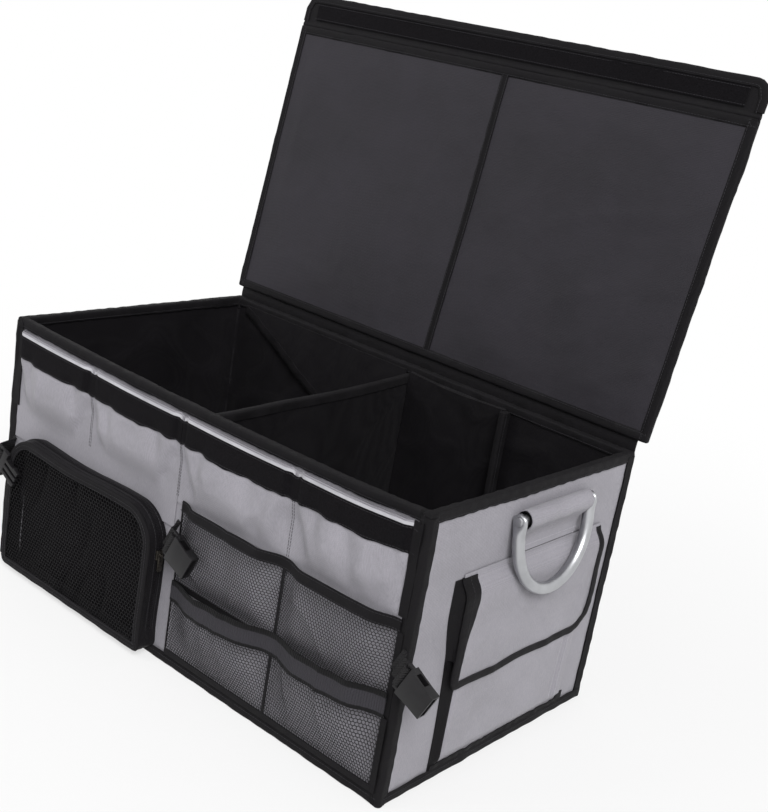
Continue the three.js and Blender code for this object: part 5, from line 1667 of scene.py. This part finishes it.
def build_hinge():
    """The strip of cloth that the lid swings on, sewn to the rear wall and into the lid's edge."""
    low, high = extent("lid_hinge_hem")
    xs = line(low[0], high[0], 6.0)
    way = np.array([math.cos(OPEN_ANGLE) * -1.0, math.sin(OPEN_ANGLE)])
    profile = [(HINGE[1], z) for z in np.linspace(low[2], HINGE[2], 10)]
    profile += [HINGE[1:] + way * s for s in (2.0, 4.0, 6.0, 8.5, 11.0)]
    profile = np.array(profile)
    grid = spots(xs[:, None], profile[:, 0], profile[:, 1])
    outer = grid + Y_WAY * (0.7 + 0.25 * np.abs(wave(grid, 12.0, 171)))[..., None]
    obj = piece("hinge_cloth", slab(outer, grid - Y_WAY * 0.6), "binding_tape", "box", ["lid_hinge_hem"], ride=False)
    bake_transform(obj)
    stitches("hinge_stitches", [spots(xs, HINGE[1] + 1.0, z) for z in (low[2] + 2, low[2] + 16)], "box")


# Stage

FLOOR_HALF = 6.0
CAMERA_AT = (0.8717, -0.9855, 0.7017)
CAMERA_WAY = (-0.58743, 0.74816, -0.30851)
CAMERA_ROLL, CAMERA_LENS = 9.728, 56.81


def seen_rays(tree, *kinds):
    """The share of a light path that is one of the given kinds."""
    ray = tree.nodes.new("ShaderNodeLightPath")
    found = ray.outputs[f"Is {kinds[0]} Ray"]
    for kind in kinds[1:]:
        found = fed(tree, "ShaderNodeMath", {0: found, 1: ray.outputs[f"Is {kind} Ray"]},
                    operation="MAXIMUM").outputs[0]
    return found


def blend_shaders(tree, share, first, second, output):
    """Mixes two shaders into a tree's output: the first where share is 0."""
    mix = fed(tree, "ShaderNodeMixShader", dict(enumerate((share, first, second))))
    tree.links.new(mix.outputs[0], tree.nodes[output].inputs["Surface"])


def build_stage():
    scene = bpy.context.scene
    mesh = bpy.data.meshes.new("floor")
    side = FLOOR_HALF
    mesh.from_pydata([(-side, -side, 0), (side, -side, 0), (side, side, 0), (-side, side, 0)], [], [(0, 1, 2, 3)])
    floor = bpy.data.objects.new("floor", mesh)
    scene.collection.objects.link(floor)
    material = bpy.data.materials.new("pale floor")
    material.use_nodes = True
    tree = material.node_tree
    shader = tree.nodes["Principled BSDF"]
    shader.inputs["Base Color"].default_value = (0.74, 0.74, 0.74, 1)
    shader.inputs["Roughness"].default_value = 0.9
    # The camera sees the floor brighten into the white backdrop away from the part
    place = tree.nodes.new("ShaderNodeTexCoord")
    reach = fed(tree, "ShaderNodeVectorMath", {0: place.outputs["Object"]}, operation="LENGTH")
    share = fed(tree, "ShaderNodeMapRange", {
        "Value": reach.outputs["Value"], "From Min": 0.35, "From Max": 1.4, "To Min": 0.62, "To Max": 1.0},
        interpolation_type="SMOOTHSTEP")
    part = fed(tree, "ShaderNodeMath", {0: seen_rays(tree, "Camera", "Glossy"), 1: share.outputs["Result"]},
               operation="MULTIPLY")
    glow = tree.nodes.new("ShaderNodeEmission")
    blend_shaders(tree, part.outputs[0], shader.outputs[0], glow.outputs[0], "Material Output")
    mesh.materials.append(material)

    world = bpy.data.worlds.new("studio")
    scene.world = world
    world.use_nodes = True
    tree = world.node_tree
    back = tree.nodes["Background"]
    white = tree.nodes.new("ShaderNodeBackground")
    for shader, strength in ((back, 0.46), (white, 1.0)):
        shader.inputs["Color"].default_value = (1, 1, 1, 1)
        shader.inputs["Strength"].default_value = strength
    seen = seen_rays(tree, "Camera", "Glossy", "Transmission")
    blend_shaders(tree, seen, back.outputs[0], white.outputs[0], "World Output")

    for name, kind, place, size, power in (
            ("broad light", "SUN", (0.56, -0.46, 0.66), math.radians(28), 3.3),
            ("soft box", "AREA", (-1.2, -2.0, 1.9), 1.2, 14.0)):
        lamp = bpy.data.lights.new(name, kind)
        if kind == "SUN":
            lamp.angle = size
        else:
            lamp.shape, lamp.size = "DISK", size
        lamp.energy = power
        obj = bpy.data.objects.new(name, lamp)
        obj.location = place
        obj.rotation_euler = Vector(place).to_track_quat("Z", "Y").to_euler()
        scene.collection.objects.link(obj)

    camera = bpy.data.cameras.new("camera")
    camera.sensor_width = 36.0
    camera.lens = CAMERA_LENS
    camera.clip_end = 50.0
    view = bpy.data.objects.new("camera", camera)
    forward = Vector(CAMERA_WAY).normalized()
    level = forward.cross(Vector((0, 0, 1))).normalized()
    above = level.cross(forward)
    roll = math.radians(CAMERA_ROLL)
    right = level * math.cos(roll) + above * math.sin(roll)
    up = above * math.cos(roll) - level * math.sin(roll)
    turn = Matrix((right, up, -forward)).transposed().to_4x4()
    view.matrix_world = Matrix.Translation(CAMERA_AT) @ turn
    scene.collection.objects.link(view)
    scene.camera = view
    scene.view_settings.view_transform = "Standard"


# Operators and panel

def operator(step, label, words, *builders):
    def execute(self, context):
        for build in builders:
            build()
        return {"FINISHED"}
    return type(f"ORGANIZER_OT_{step}", (bpy.types.Operator,), {
        "bl_idname": f"organizer.{step}", "bl_label": label, "__doc__": words,
        "bl_options": {"REGISTER", "UNDO"}, "execute": execute})


STEPS = [
    operator("walls", "Walls", "Make the cloth walls, their boards and the base.", build_walls),
    operator("bindings", "Bindings", "Bind the rim, the corners and the foot with tape.", build_bindings),
    operator("interior", "Interior", "Make the lining, floor pads and dividers.", build_interior),
    operator("upper_pockets", "Upper Pockets", "Sew the four cloth pockets, their bands and strip.",
             build_upper_pockets),
    operator("mesh_pockets", "Mesh Pockets", "Knit the two rows of net pockets with their tapes.",
             build_mesh_pockets),
    operator("pouch", "Pouch", "Make the net pouch and its border.", build_pouch),
    operator("zip", "Zip", "Lay the zip round the pouch and fit its runner and tab.", build_zip),
    operator("buckles", "Buckles", "Finish the buckles and their webbing loops.", build_buckles),
    operator("handles", "Handles", "Bend the D-handles and sew their sleeves.", build_handles),
    operator("side_pocket", "Side Pocket", "Make the bellows pocket and its flap.", build_side_pocket),
    operator("lid", "Lid", "Make the lid's panels, tapes and flap.", build_lid),
    operator("hinge", "Hinge", "Make the strip of cloth that the lid swings on.", build_hinge),
    operator("stage", "Stage", "Set the floor, the lamps and the camera.", build_stage),
]


class ORGANIZER_PT_panel(bpy.types.Panel):
    """Lists the sizes, the colours and one button for each group of pieces"""
    bl_idname = "ORGANIZER_PT_panel"
    bl_label = "Organizer"
    bl_space_type = "VIEW_3D"
    bl_region_type = "UI"
    bl_category = "Organizer"

    def draw(self, context):
        for group in (context.scene.organizer_sizes, context.scene.organizer_colours):
            column = self.layout.column()
            for name in group.__annotations__:
                column.prop(group, name)
        for step in STEPS:
            self.layout.operator(step.bl_idname)


CLASSES = [OrganizerSizes, OrganizerColours, *STEPS, ORGANIZER_PT_panel]


def register():
    for item in CLASSES:
        bpy.utils.register_class(item)
    bpy.types.Scene.organizer_sizes = PointerProperty(type=OrganizerSizes)
    bpy.types.Scene.organizer_colours = PointerProperty(type=OrganizerColours)


def unregister():
    del bpy.types.Scene.organizer_colours
    del bpy.types.Scene.organizer_sizes
    for item in reversed(CLASSES):
        bpy.utils.unregister_class(item)


def main():
    register()
    for step in STEPS:
        getattr(bpy.ops.organizer, step.bl_idname.split(".")[1])()


if __name__ == "__main__":
    main()
